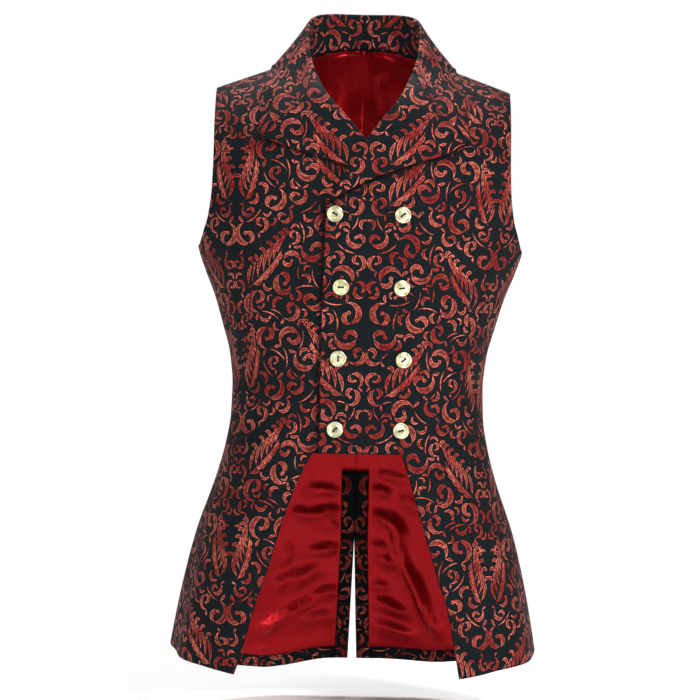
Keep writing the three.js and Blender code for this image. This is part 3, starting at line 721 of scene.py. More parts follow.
# The pattern's mirror line lies this far out on a front, and the right one's pattern this much higher
PATTERN_AXIS = 7.0
RIGHT_HIGHER = 22
FACING_WIDTH = 62
# Dart seams, height and x
DARTS = {
    -1: [(-458, -138.6), (-363, -132), (-295, -123.5), (-206, -116.5)],
    1: [(-464, 136), (-409, 131), (-358, 121), (-264, 122.6)],
}
# Added to the distances from a dart seam, their limit, and the length over which a dart ends
SEAM_ZERO = 100
SEAM_REACH = 30
SEAM_FADE = 12


def panel(name, face, hand, grid, keep, weave, looks, lift=None, inner_look=None):
    """Cloth whose outer side lies on the form."""
    points, normals = on_form(face, hand, grid)
    high = np.zeros(points.shape[:2]) if lift is None else lift(points[..., 0], points[..., 2])
    half = half_thickness(border_distance(points, keep), WALL)
    middle = points + normals * (high - WALL / 2)[..., None]
    outer = middle + normals * half[..., None]
    inner = middle - normals * half[..., None]
    return shell(name, outer, inner, keep, weave, looks, inner_look)


def front(hand, looks):
    """A front with its brocade facing along the edge, lined in satin."""
    grid, section = panel_grid(-1, hand, front_sections(hand), INNER_COLUMNS, OUTER_COLUMNS)
    rows, columns = grid.shape[0] - 1, grid.shape[1] - 1
    keep = (np.arange(columns)[None, :] >= INNER_COLUMNS) | (section[:rows, None] > 0)
    inward = np.where(grid[..., 0] < 0, -1, 1)
    mirrored = np.stack([np.abs(grid[..., 0]), grid[..., 1]], axis=-1)
    flat = flat_place(arcs[-1], mirrored)
    across = inward * flat[..., 0]
    higher = RIGHT_HIGHER if hand < 0 else 0
    weave = np.stack([hand * across - PATTERN_AXIS, flat[..., 1] - higher], axis=-1)
    facing = np.where(across[:-1, :-1] > across[:-1, :1] + FACING_WIDTH, 1, 0)
    lift = overlap_lift if hand > 0 else None
    name = "left_front" if hand > 0 else "right_front"
    return panel(name, -1, hand, grid, keep, weave, looks, lift, facing)


def front_view(piece):
    """x and height of a piece's points."""
    points = np.empty(len(piece.data.vertices) * 3)
    piece.data.vertices.foreach_get("co", points)
    return points.reshape(-1, 3)[:, [0, 2]].T * 1000


def mark_dart(piece, hand):
    """Writes how far a front's points lie from its dart seam, and how much of a seam there is."""
    x, z = front_view(piece)
    line = column(DARTS[hand], 0, 1)
    top, bottom = DARTS[hand][-1][0], DARTS[hand][0][0]
    seam = np.zeros((len(x), 3))
    seam[:, 0] = SEAM_ZERO + np.clip(hand * (x - line(z)), -SEAM_REACH, SEAM_REACH)
    seam[:, 1] = smooth(top, top - SEAM_FADE, z) * smooth(bottom, bottom + SEAM_FADE, z)
    marks = piece.data.attributes.new("seam", "FLOAT_VECTOR", "POINT")
    marks.data.foreach_set("vector", seam.ravel())


# How dark the cloth is under the lapel's lower edge and beside the overlap, how far, and the
# number of points that those lines are followed with
SHADOW = 0.85
SHADOW_REACH = (8, 0.5)
SHADOW_POINTS = 160


def mark_shadows(piece, hand):
    """Adds the shadow that the lapel and the upper front's edge leave on a front."""
    share = np.linspace(0, 1, SHADOW_POINTS)
    offset = 0 if hand > 0 else 2
    lines = [(hand * along(LAPEL_EDGE, offset)(share), along(LAPEL_EDGE, offset + 1)(share))]
    if hand < 0:
        height = mix(CUT, BREAK, share)
        lines.append((column(OVERLAP_EDGE, 0, 1)(height), height))
    tree = tree_of([(x, z, 0) for line in lines for x, z in zip(*line)])
    distance = np.array([tree.find((x, z, 0))[2] for x, z in front_view(piece).T])
    shade = piece.data.attributes["shade"].data
    dark = np.empty(len(distance))
    shade.foreach_get("value", dark)
    shade.foreach_set("value", np.maximum(dark, SHADOW * smooth(*SHADOW_REACH, distance)))


# Back, its facings and its lining

BACK_COLUMNS = 58
VENT_COLUMNS = 10
# Width of the vent's facing, and half the vent's opening at the hem
VENT_FACING = 16
VENT_HALF = 5.2
# How far the hem hangs below the line from vent to side seam, by hand, and where it begins and ends
HEM_DIP = {-1: 22, 1: 11}
DIP_IN = (15, 110)
DIP_OUT = (205, 135)
# Share of the way to the shoulder where the neck's rows begin
NAPE_LEVEL = 0.86
# The line that parts the inner from the outer columns: its x at the shoulder, the shares of its
# way over which it turns out to there, and the power that crowds its rows towards the underarm
BACK_SHOULDER_X = 84
TURN_OUT = (0.4, 1)
SHOULDER_POWER = 1.1
# The back's pattern lies this much higher than the left front's
BACK_HIGHER = 9


def vent_edge(z):
    """x of the vent's edge, nothing where it is closed."""
    return VENT_HALF * np.clip((VENT_OPEN - z) / (VENT_OPEN - HEM_BACK), 0, 1)


def facing_edge(z):
    """x of the inner edge of the vent's facing."""
    return vent_edge(z) + VENT_FACING


neck_x = along(BACK_NECK, 0)
neck_z = along(BACK_NECK, 1)


def back_shoulder(t):
    """Place between the inner and the outer columns, from the underarm's level to the shoulder."""
    x = mix(facing_edge(VENT_TOP), BACK_SHOULDER_X, smooth(*TURN_OUT, t))
    return np.array([place(x, ridge(x))[0], t ** SHOULDER_POWER])


def back_sections():
    """Rows of a back: the hem's facing, the skirt, and up to underarm, nape and shoulder."""
    def skirt_row(low, high):
        def outer(t):
            height = (mix(low, high, t) - HEM_BACK) / (VENT_TOP - HEM_BACK)
            return on_side(mix(HEM_SIDE, VENT_TOP, height))

        return (
            lambda t: place(vent_edge(mix(low, high, t)), mix(low, high, t)),
            lambda t: place(facing_edge(mix(low, high, t)), mix(low, high, t)),
            outer,
        )

    top = place(NECK_HALF, ridge(NECK_HALF))
    band = HEM_BACK + FACING_RISE
    return [
        (spaced(FACING_RISE, 9, near_start=True), *skirt_row(HEM_BACK, band)),
        (spaced(213, 44), *skirt_row(band, VENT_TOP)),
        (
            spaced(255, 48),
            lambda t: place(0, mix(VENT_TOP, UNDERARM, t)),
            lambda t: place(facing_edge(VENT_TOP), mix(VENT_TOP, UNDERARM, t)),
            lambda t: on_side(mix(VENT_TOP, UNDERARM, t)),
        ),
        (
            spaced(235, 44),
            lambda t: place(0, mix(UNDERARM, BACK_NECK[0][1], t)),
            lambda t: back_shoulder(t * NAPE_LEVEL),
            lambda t: armhole(t * NAPE_LEVEL),
        ),
        (
            spaced(60, 20, near_end=True),
            lambda t: top if t == 1 else place(neck_x(t), neck_z(t)),
            lambda t: back_shoulder(mix(NAPE_LEVEL, 1, t)),
            lambda t: armhole(mix(NAPE_LEVEL, 1, t)),
        ),
    ]


# Numbers of the first two sections
HEM_BAND = 0
SKIRT = 1


def back_pieces(hand, brocade, satin):
    """A back with its two facings and its lining."""
    word = "left" if hand > 0 else "right"
    grid, section = panel_grid(1, hand, back_sections(), VENT_COLUMNS, BACK_COLUMNS)
    rows, columns = grid.shape[0] - 1, grid.shape[1] - 1
    rise = rise_of(grid[..., 0], grid[..., 1])
    x = half_at(rise) * np.sin(grid[..., 0])
    across = smooth(*DIP_IN, x) * smooth(*DIP_OUT, x)
    dip = HEM_DIP[hand] * across * smooth(VENT_TOP, HEM_BACK, rise)
    grid = np.stack([grid[..., 0], level_of(grid[..., 0], rise - dip)], axis=-1)
    flat = flat_place(arcs[1], grid)
    weave = np.stack([hand * flat[..., 0], flat[..., 1] - BACK_HIGHER], axis=-1)
    everything = np.ones((rows, columns), bool)
    back = panel(f"{word}_back", 1, hand, grid, everything, weave, [brocade, satin])
    beside = np.broadcast_to(np.arange(columns)[None, :] >= VENT_COLUMNS, (rows, columns))
    level = np.broadcast_to(section[:rows, None], (rows, columns))
    vent = ~beside & (level <= SKIRT)
    hem = beside & (level == HEM_BAND)
    lining = ~vent & ~hem
    points, normals = on_form(1, hand, grid)
    pieces = [back]
    for name, keep, look in (
        (f"{word}_vent_facing", vent, brocade),
        (f"{word}_hem_facing", hem, brocade),
        (f"{word}_back_lining", lining, satin),
    ):
        border = border_distance(points, keep)
        half = half_thickness(border, LINING_WALL)[..., None]
        away = WALL + LINING_GAP + LINING_WALL / 2
        if look is satin:
            wrinkle = LINING_RELIEF * pressed(LINING_CREASES, points[..., 0], points[..., 2])
            away = away + (wrinkle * smooth(0, LINING_FADE, border))[..., None]
        middle = points - normals * away
        outer, inner = middle + normals * half, middle - normals * half
        pieces.append(shell(name, outer, inner, keep, weave, [look, look]))
    return pieces


# Lapels and collar

# Soft rise of a lapel beyond its roll line: its height, and where it is highest
SOFT_LIFT = 2.2
SOFT_LIFT_AT = 20
# Distances from the left roll line over which the right lapel comes to lie flat below the overlap
COVER = (24, 4)
# Step in height that the roll line's direction is found with
ROLL_STEP = 2
ROLL_STEPS = 10
# Share of the way down a lapel at which its tip lies, and the height of its last row
TIP_SHARE = 8 / 17
LAPEL_END = -158
# Length and number of a lapel's rows above and below its tip, and of its columns
TO_TIP = (95, 34)
BELOW_TIP = (170, 44)
ACROSS = (90, 34)
# Crowds the rows a little towards the lower end, and the first row's place on the gorge
ROW_POWER = 0.95
FIRST_ROW = 0.025
# The lapel's pattern is squeezed in height and lies higher, which sets it off from the front's
LAPEL_SQUEEZE = 1.04
LAPEL_HIGHER = 40


def drape(hand, x, z):
    """Middle face of a lapel that lies on the front, x measured towards its own side."""
    away = np.maximum(x - roll_line[hand](np.minimum(z, NECK_CORNER)), 0) / SOFT_LIFT_AT
    covered = roll_line[1](z)
    hidden = smooth(covered - COVER[0], covered - COVER[1], -x) if hand < 0 else 0
    lift = SOFT_LIFT * away * np.exp(1 - away) * (1 - hidden)
    over = overlap_lift(x, z) if hand > 0 else 0
    height = over + LAPEL_CLEAR + LAPEL_WALL / 2 + lift
    point, normal = on_form(-1, hand, place(x, z))
    return point + normal * height[..., None]


def roll_turn(hand, z):
    """Half turn of the cloth round the front's edge at each height."""
    z = np.asarray(z, float)

    def edge(height):
        return on_form(-1, hand, place(roll_line[hand](height) + setback(height), height))[0]

    point = edge(z)
    tangent = unit(edge(z + ROLL_STEP) - edge(z - ROLL_STEP))
    normal = on_form(-1, hand, place(hand * point[..., 0], z))[1]
    away = unit(np.cross(normal, tangent) * -hand)
    over = overlap_lift(point[..., 0], z) if hand > 0 else np.zeros(z.shape)
    base = point + normal * (over - WALL / 2)[..., None]
    turn = [base - away * ROLL_START]
    for k in range(ROLL_STEPS + 1):
        angle = math.pi * k / ROLL_STEPS
        lead = ROLL_LEAD + ROLL_RADIUS * math.sin(angle)
        turn.append(base - away * lead + normal * ROLL_RADIUS * (1 - math.cos(angle)))
    return np.stack(turn, axis=-2)


def lapel_edge(hand, table, t, start=None):
    """Points of a lapel's outline, pulled so that they begin at start."""
    offset = 0 if hand > 0 else 2
    x, z = along(table, offset), along(table, offset + 1)
    point = drape(hand, x(t), z(t))
    if start is None:
        return point
    shift = start - drape(hand, x(0.0), z(0.0))
    return point + shift * ((1 - np.asarray(t)) ** 3)[..., None]


def gorge(hand, t):
    """Points of the seam between lapel and collar."""
    start = roll_turn(hand, np.array(float(LAPEL_TOP)))[-1]
    return lapel_edge(hand, GORGE, t, start)


def sheet(name, grid, thickness, weave, looks):
    """Cloth of even thickness round a grid of middle points."""
    up = unit(np.cross(np.gradient(grid, axis=1), np.gradient(grid, axis=0)))
    keep = np.ones((grid.shape[0] - 1, grid.shape[1] - 1), bool)
    half = half_thickness(border_distance(grid, keep), thickness)[..., None]
    return shell(name, grid + up * half, grid - up * half, keep, weave, looks)


def lapel(hand, looks):
    """The turned-back front edge: half a turn of cloth, then a body that lies on the front."""
    to_tip = spaced(*TO_TIP, True, True) * TIP_SHARE
    below = mix(TIP_SHARE, 1, spaced(*BELOW_TIP, True, True)[1:])
    share = np.concatenate([to_tip, below])
    turn = roll_turn(hand, mix(LAPEL_TOP - 1.0, LAPEL_END, share ** ROW_POWER))
    start = turn[:, -1]
    on_gorge = gorge(hand, np.minimum(share / TIP_SHARE, 1))
    on_gorge[0] = gorge(hand, np.array([FIRST_ROW]))[0]
    lower = lapel_edge(hand, LAPEL_EDGE, np.clip((share - TIP_SHARE) / (1 - TIP_SHARE), 0, 1))
    edge = np.where((share <= TIP_SHARE)[:, None], on_gorge, lower)
    width = spaced(*ACROSS, False, True)[1:]
    t = width[None, :, None]
    x = mix(hand * start[:, None, 0], hand * edge[:, None, 0], width[None, :])
    height = mix(start[:, None, 2], edge[:, None, 2], width[None, :])
    body = drape(hand, x, height)
    shift = start - drape(hand, hand * start[:, 0], start[:, 2])
    end_shift = edge - drape(hand, hand * edge[:, 0], edge[:, 2])
    body = body + shift[:, None] * (1 - t) ** 2 + end_shift[:, None] * t
    grid = np.concatenate([turn, body], axis=1)
    up = grid[..., 2] * LAPEL_SQUEEZE - LAPEL_HIGHER
    weave = np.stack([grid[..., 0] - PATTERN_AXIS, up], axis=-1)
    return sheet("left_lapel" if hand > 0 else "right_lapel", grid, LAPEL_WALL, weave, looks)


# Steps up the collar's stand and down its fall
STAND_STEPS = 8
FALL_STEPS = 34
# How far the collar's lower edge is tucked into the neck seam
SEAM_TUCK = 2.2
# Columns from the centre back to the gorge, evenly up to a share and then close together
COLLAR_EVEN = (0.985, 96)
COLLAR_LAST = (0.993, 0.9975, 1)
# Shares of the way round from which the fall follows the gorge, and the collar its end
NEAR_GORGE = 0.6
NEAR_END = 0.93
# Squeeze of the collar's pattern round the neck, and the height on its tile that the fold has
COLLAR_SQUEEZE = 1.05
FOLD_HEIGHT = 60


def clear_of_form(hand, point):
    """Moves points of the fall out to where the collar lies on the cloth."""
    x = hand * point[..., 0]
    face = np.where(point[..., 1] < 0, -1, 1)
    z = np.minimum(point[..., 2], ridge(x))
    under, normal = on_form(face, hand, place(x, z))
    over = np.where(face < 0, overlap_lift(x, z), 0) if hand > 0 else 0
    height = over + LAPEL_CLEAR + LAPEL_WALL / 2
    distance = ((point - under) * normal).sum(axis=-1)
    return point + normal * np.maximum(height - distance, 0)[..., None]


def collar_half(hand, t):
    """Half a collar from the centre back to the gorge: its stand, its fold and its fall."""
    turn = roll_turn(hand, np.array(float(LAPEL_TOP)))
    v = np.linspace(0, 1, FALL_STEPS + 1)[1:]
    corners = gorge(hand, v)
    ends = [turn[0], turn[ROLL_STEPS // 2 + 1], corners[-1]]
    last = np.concatenate([end * [hand, 1, 1] for end in ends])
    table = [*COLLAR, tuple(last)]
    seam, fold, edge = (
        np.stack([along(table, k)(t) for k in range(3 * n, 3 * n + 3)], axis=-1) * [hand, 1, 1]
        for n in range(3)
    )
    seam = seam + unit(seam - fold) * SEAM_TUCK
    tangent = unit(np.gradient(fold, axis=0))
    up = unit(fold - seam) + unit(fold - edge)
    up = unit(up - tangent * (up * tangent).sum(axis=-1, keepdims=True))
    out = unit(np.cross(tangent, up) * -hand)
    top = fold - up * ROLL_RADIUS
    row = [mix(seam, top, k / STAND_STEPS) for k in range(STAND_STEPS)]
    for k in range(ROLL_STEPS + 1):
        angle = math.pi * k / ROLL_STEPS
        lead = out * ROLL_RADIUS * (1 - math.cos(angle))
        row.append(top + lead + up * ROLL_RADIUS * math.sin(angle))
    near = np.clip((t - NEAR_GORGE) / (1 - NEAR_GORGE), 0, 1) ** 3
    bow = (corners - mix(turn[-1], corners[-1], v[:, None])) * near[:, None, None]
    fall = clear_of_form(hand, mix(row[-1][:, None], edge[:, None], v[None, :, None]) + bow)
    end_stand = [mix(turn[0], turn[1], k / STAND_STEPS) for k in range(STAND_STEPS)]
    grid = np.concatenate([np.stack(row, axis=1), fall], axis=1)
    end = np.concatenate([np.array(end_stand), turn[1:], corners])
    blend = smooth(NEAR_END, 1, t)[:, None, None] ** 2
    return mix(grid, end[None], blend)


def collar(looks):
    """Both halves in one, with flat cloth coordinates that begin at the fold's middle."""
    t = np.concatenate([np.linspace(0, *COLLAR_EVEN), COLLAR_LAST])
    left, right = collar_half(1, t), collar_half(-1, t)
    grid = np.concatenate([right[:0:-1], left])
    fold = STAND_STEPS + ROLL_STEPS // 2
    round_it = lengths(grid, 0)
    middle = round_it[len(t) - 1, fold]
    across = lengths(grid, 1)
    u = np.broadcast_to((round_it[:, fold] - middle)[:, None], across.shape)
    v = across - across[:, fold:fold + 1] + FOLD_HEIGHT
    weave = np.stack([u * COLLAR_SQUEEZE, v], axis=-1)
    return sheet("collar_fall_and_stand", grid, LAPEL_WALL, weave, looks)


# The scroll pattern: strokes on a tile whose two sides are mirror lines

strokes = []
dots = []


def arc(x, y, heading, radius, turn, sweep, even, late=0.0):
    """Stroke from (x, y), bending to the left with turn 1. Returns where and how it ends.

    At share t of its way the half width is t (1 - t) (even + late t).
    """
    start = math.radians(heading - 90 * turn)
    cx = x - radius * math.cos(start)
    cy = y - radius * math.sin(start)
    end = start + turn * math.radians(sweep)
    strokes.append((cx, cy, radius, start, turn, math.radians(sweep), even, late))
    return cx + radius * math.cos(end), cy + radius * math.sin(end), heading + turn * sweep


def bent(x, y, heading, length, bend, even, late=0.0):
    """Stroke of a given length that bends by so many degrees, to the left where positive."""
    turn = 1 if bend > 0 else -1
    return arc(x, y, heading, length / math.radians(abs(bend)), turn, abs(bend), even, late)


def scroll(x, y, heading, turn, size, tail):
    """Crescent that rolls up into a curl with a ball, with a bud and a thin tail."""
    if tail:
        arc(x, y, heading + 180, 2.3 * size, turn, 62 * tail, 3.4)
    bent(x, y, heading - turn * 25, 0.95 * size, turn * -70, 1.0, 0.9 * size)
    end = arc(x, y, heading, size, turn, 185, 0.5 * size, 1.25 * size)
    tip = arc(*end, 0.52 * size, turn, 190, size)
    dots.append((tip[0], tip[1], 0.19 * size))


def hook(x, y, heading, turn, size):
    """Small crescent with a ball at its end."""
    end = arc(x, y, heading, size, turn, 165, 0.8 * size, 1.1 * size)
    dots.append((end[0], end[1], 0.26 * size))


# A spray's spine: its length and bend, and the number of lobes on it
SPINE = 56
SPINE_BEND = 34
LOBES = 6


def spray(x, y, heading, turn, size):
    """Acanthus leaf: a bent spine with curled lobes on one side and shorter ones on the other."""
    spine = SPINE * size
    radius = spine / math.radians(SPINE_BEND)
    bent(x, y, heading, spine * 1.1, turn * SPINE_BEND, 6.0)
    for k in range(LOBES):
        t = (k + 0.6) / (LOBES + 0.2)
        chord = 2 * radius * math.sin(math.radians(SPINE_BEND * t) / 2)
        way = math.radians(heading + turn * SPINE_BEND * t / 2)
        at = (x + chord * math.cos(way), y + chord * math.sin(way))
        now = heading + turn * SPINE_BEND * t
        long = size * (14 + 17 * math.sin(math.pi * (0.2 + 0.66 * t)))
        tip = bent(*at, now + turn * (72 - 8 * k), long, -turn * 48, 2.4, 11.0)
        arc(tip[0], tip[1], tip[2] - turn * 20, 3.4 * size, turn, 200, 6.0, 4.0)
        if k < LOBES - 1:
            bent(*at, now - turn * 42, 0.5 * long, turn * 66, 2.4, 9.0)


# Charted on the tile: x, y, heading and turn of each spray, scroll and hook. A spray's
# size follows it, the scrolls stand under their size and length of tail, the hooks under their size
SPRAYS = [
    (134, 142, 150, -1, 1.0), (20, 44, 28, 1, 1.0), (140, 26, 122, -1, 0.9),
]
SCROLLS = {
    (11.5, 1): [
        (93, 77, 50, 1), (121, 115, 350, 1), (32, 116, 290, -1), (100, 42, 200, 1),
        (34, 7, 60, -1), (38, 177, 100, 1), (82, 138, 320, 1), (55, 32, 110, 1),
        (71, 189, 290, -1), (112, 74, 0, 1), (139, 4, 350, -1), (75, 72, 310, -1),
        (50, 140, 220, 1), (23, 148, 160, 1),
    ],
    (9.5, 0.8): [
        (18, 18, 320, -1), (92, 110, 230, -1), (74, 167, 110, -1),
    ],
    (9, 0.5): [
        (73, 43, 210, 1), (18, 86, 240, -1), (20, 37, 210, -1),
    ],
    (8, 0): [
        (12, 184, 190, -1), (123, 203, 200, -1), (88, 20, 210, 1), (8, 55, 160, -1),
    ],
    (7, 0): [
        (131, 102, 330, 1), (99, 52, 340, 1), (139, 24, 320, -1), (86, 191, 210, -1),
        (143, 180, 190, 1), (143, 138, 170, -1),
    ],
}
HOOKS = {
    6.5: [
        (2, 156, 320, 1), (92, 128, 50, -1), (44, 151, 80, 1), (38, 186, 20, 1),
        (116, 35, 150, -1), (120, 113, 280, -1), (135, 28, 230, -1), (140, 116, 0, 1),
        (12, 171, 150, 1), (36, 203, 150, 1), (47, 57, 320, -1),
    ],
    5.5: [
        (59, 10, 290, 1), (67, 209, 180, 1), (81, 53, 340, -1), (44, 106, 120, -1),
        (71, 66, 60, 1), (105, 143, 290, 1), (64, 146, 140, -1), (79, 128, 190, -1),
        (44, 136, 160, 1), (4, 19, 20, 1), (30, 99, 330, 1), (54, 169, 220, -1), (74, 98, 60, 1),
        (19, 20, 90, -1),
    ],
    4.5: [
        (105, 10, 200, 1), (116, 126, 240, 1), (75, 206, 90, -1), (72, 118, 160, 1),
        (108, 18, 250, 1), (139, 157, 70, -1), (61, 18, 230, -1), (100, 104, 340, -1),
        (146, 107, 320, -1),
    ],
    3.8: [
        (67, 159, 40, 1), (85, 145, 230, 1), (108, 126, 20, 1), (31, 161, 160, 1),
        (146, 84, 100, 1),
    ],
    3.4: [
        (140, 92, 200, 1),
    ],
}
for row in SPRAYS:
    spray(*row)
for look, rows in SCROLLS.items():
    for row in rows:
        scroll(*row, *look)
for size, rows in HOOKS.items():
    for row in rows:
        hook(*row, size)


# Material nodes

FLOAT = "NodeSocketFloat"
VECTOR = "NodeSocketVector"


class Nodes:
    """Short calls that add and link the nodes of one tree."""

    def __init__(self, tree):
        self.tree = tree

    def add(self, kind, inputs=(), **settings):
        node = self.tree.nodes.new(kind)
        for key, value in settings.items():
            setattr(node, key, value)
        self.fill(node, dict(inputs))
        return node

    def fill(self, node, inputs):
        for key, value in inputs.items():
            self.put(node.inputs[key], value)

    def put(self, socket, value):
        if isinstance(value, bpy.types.NodeSocket):
            self.tree.links.new(value, socket)
        elif value is not None:
            socket.default_value = value

    def math(self, operation, *values):
        node = self.add("ShaderNodeMath", operation=operation)
        for socket, value in zip(node.inputs, values):
            self.put(socket, value)
        return node.outputs[0]

    def vector(self, operation, *values):
        node = self.add("ShaderNodeVectorMath", operation=operation)
        for socket, value in zip(node.inputs, values):
            self.put(socket, value)
        return node.outputs["Value" if operation in ("LENGTH", "DOT_PRODUCT") else "Vector"]

    def scaled(self, vector, factor):
        inputs = {0: vector, "Scale": factor}
        return self.add("ShaderNodeVectorMath", inputs, operation="SCALE").outputs[0]

    def split(self, vector):
        return self.add("ShaderNodeSeparateXYZ", {"Vector": vector}).outputs

    def marked(self, name):
        """An attribute that the mesh carries."""
        return self.add("ShaderNodeAttribute", attribute_name=name).outputs

    def group(self, tree, inputs):
        return self.add("ShaderNodeGroup", inputs, node_tree=tree).outputs[0]

    def step(self, value, low, high, to_low=0.0, to_high=1.0):
        inputs = {"Value": value, "From Min": low, "From Max": high}
        inputs |= {"To Min": to_low, "To Max": to_high}
        return self.add("ShaderNodeMapRange", inputs, interpolation_type="SMOOTHSTEP").outputs[0]

    def mix(self, share, a, b):
        node = self.add("ShaderNodeMix", data_type="RGBA")
        for socket, value in zip((node.inputs[0], node.inputs[6], node.inputs[7]), (share, a, b)):
            self.put(socket, value)
        return node.outputs[2]

    def noise(self, vector, scale, detail=2.0, roughness=0.5):
        inputs = {"Vector": vector, "Scale": scale, "Detail": detail, "Roughness": roughness}
        return self.add("ShaderNodeTexNoise", inputs).outputs["Fac"]


def tree_group(name, sockets):
    """A new group with one number as output: its tree, nodes, inputs and output."""
    group = bpy.data.node_groups.new(name, "ShaderNodeTree")
    for label, kind in sockets:
        group.interface.new_socket(label, in_out="INPUT", socket_type=kind)
    group.interface.new_socket("Value", in_out="OUTPUT", socket_type=FLOAT)
    n = Nodes(group)
    return group, n, n.add("NodeGroupInput").outputs, n.add("NodeGroupOutput").inputs[0]


def stroke_group():
    """Smaller of Near and the distance from an arc's outline, in millimetres."""
    names = ("Turn", "Offset", "Rate", "Radius", "Even", "Late", "Near")
    sockets = [("Point", VECTOR), ("Center", VECTOR)] + [(name, FLOAT) for name in names]
    group, n, given, out = tree_group("stroke", sockets)
    away = n.vector("SUBTRACT", given["Point"], given["Center"])
    right = n.vector("DOT_PRODUCT", away, (1, 0, 0))
    up = n.vector("DOT_PRODUCT", away, (0, 1, 0))
    angle = n.math("ARCTAN2", up, right)
    turned = n.math("MULTIPLY_ADD", angle, given["Turn"], given["Offset"])
    share = n.math("MULTIPLY", n.math("WRAP", turned, 2 * math.pi, 0.0), given["Rate"])
    ends = n.math("MULTIPLY", share, n.math("SUBTRACT", 1.0, share))
    width = n.math("MULTIPLY", ends, n.math("MULTIPLY_ADD", share, given["Late"], given["Even"]))
    gap = n.math("ABSOLUTE", n.math("SUBTRACT", n.vector("LENGTH", away), given["Radius"]))
    n.put(out, n.math("MINIMUM", n.math("SUBTRACT", gap, width), given["Near"]))
    return group


def dot_group():
    """Smaller of Near and the distance from a dot's outline, in millimetres."""
    sockets = [("Point", VECTOR), ("Center", VECTOR), ("Radius", FLOAT), ("Near", FLOAT)]
    group, n, given, out = tree_group("dot", sockets)
    away = n.vector("LENGTH", n.vector("SUBTRACT", given["Point"], given["Center"]))
    n.put(out, n.math("MINIMUM", n.math("SUBTRACT", away, given["Radius"]), given["Near"]))
    return group


# How far outside its cell a face may reach, with the shift at a dart
CELL_MARGIN = 13
# Distance where there is no stroke, and the points along a stroke that show which cells it reaches
NO_STROKE = 9.0
STROKE_POINTS = 24


def within(cell, x, y):
    """True where a point lies in a cell or close beside it."""
    left, low = cell % CELLS_ACROSS * CELL_WIDTH, cell // CELLS_ACROSS * CELL_HEIGHT
    across = (x > left - CELL_MARGIN) & (x < left + CELL_WIDTH + CELL_MARGIN)
    return across & (y > low - CELL_MARGIN) & (y < low + CELL_HEIGHT + CELL_MARGIN)


def scroll_pattern(cell, one_stroke, one_dot):
    """Group from a flat cloth place in one cell to the distance from the nearest outline."""
    group, n, given, out = tree_group(f"scrolls_{cell}", [("Cloth", VECTOR)])
    split = n.split(given["Cloth"])
    middle = (cell // CELLS_ACROSS + 0.5) * CELL_HEIGHT
    across = n.math("PINGPONG", split["X"], TILE_WIDTH)
    up = n.math("WRAP", split["Y"], middle + TILE_HEIGHT / 2, middle - TILE_HEIGHT / 2)
    point = n.add("ShaderNodeCombineXYZ", {"X": across, "Y": up}).outputs[0]
    near = NO_STROKE
    lifts = (-TILE_HEIGHT, 0, TILE_HEIGHT)
    for cx, cy, radius, start, turn, sweep, even, late in strokes:
        share = np.linspace(0, 1, STROKE_POINTS)
        width = share * (1 - share) * (even + late * share)
        angle = start + turn * sweep * share
        sides = np.stack([radius - width, radius + width])
        x, y = cx + sides * np.cos(angle), cy + sides * np.sin(angle)
        for lift in lifts:
            if not np.any(within(cell, x, y + lift)):
                continue
            values = {
                "Point": point,
                "Center": (cx, cy + lift, 0),
                "Turn": float(turn),
                "Offset": -turn * start,
                "Rate": 1 / sweep,
                "Radius": radius,
                "Even": even,
                "Late": late,
                "Near": near,
            }
            near = n.group(one_stroke, values)
    for cx, cy, radius in dots:
        for lift in lifts:
            if within(cell, cx, cy + lift):
                center = (cx, cy + lift, 0)
                values = {"Point": point, "Center": center, "Radius": radius, "Near": near}
                near = n.group(one_dot, values)
    n.put(out, near)
    return group


def new_material(name):
    """A material, its nodes and its shader."""
    material = bpy.data.materials.new(name)
    material.use_nodes = True
    return material, Nodes(material.node_tree), material.node_tree.nodes["Principled BSDF"]


def cloth_place(n):
    """The cloth's own flat place in millimetres."""
    return n.scaled(n.add("ShaderNodeUVMap", uv_map="weave").outputs[0], 1000.0)


def finish_bump(n, shader, height, distance, strength=1.0):
    inputs = {"Height": height, "Distance": distance, "Strength": strength}
    n.put(shader.inputs["Normal"], n.add("ShaderNodeBump", inputs).outputs[0])


def thread_height(n, cloth, fine=1.0):
    """Woven threads: waves across and along, a little uneven."""
    uneven = n.noise(cloth, 0.35, 3.0)
    waves = []
    for direction, scale, distortion in (("X", 0.55, 0.6), ("Y", 0.8, 0.4)):
        inputs = {"Vector": cloth, "Scale": scale * fine, "Distortion": distortion}
        inputs |= {"Detail": 1.0, "Detail Scale": 2.0}
        waves.append(n.add("ShaderNodeTexWave", inputs, bands_direction=direction).outputs["Fac"])
    return n.math("MULTIPLY_ADD", uneven, 0.8, n.math("MULTIPLY", *waves))


# Shift of the pattern beyond a dart seam, and the distances from it at which its line begins
# and is darkest
DART_SHIFT = (5.0, 3.0, 0.0)
SEAM_LINE = (1.0, 0.25)
# Noise that frays the outlines, and how far it is taken back to keep them where they are
FRAY = 0.8
FRAY_BACK = 0.16
# Distances from an outline, negative inside, over which the scroll, its lighter edge and the two
# sides of its vein begin
SCROLL_BAND = (0.1, -0.12)
EDGE_BAND = (-0.85, -0.55)
VEIN_BANDS = (-1.5, -1.75), (-2.4, -2.1)
# Colours of the brocade, each between a darker and a lighter one, and of its seams and of its painted
# shade and shadows
LIGHT_RED = (0.40, 0.034, 0.022, 1), (0.78, 0.19, 0.13, 1)
DARK_RED = (0.028, 0.003, 0.004, 1), (0.10, 0.008, 0.008, 1)
GROUND = (0.002, 0.0036, 0.0044, 1), (0.005, 0.008, 0.0095, 1)
SEAM_AND_SHADE_BLACK = (0.002, 0.002, 0.003, 1)


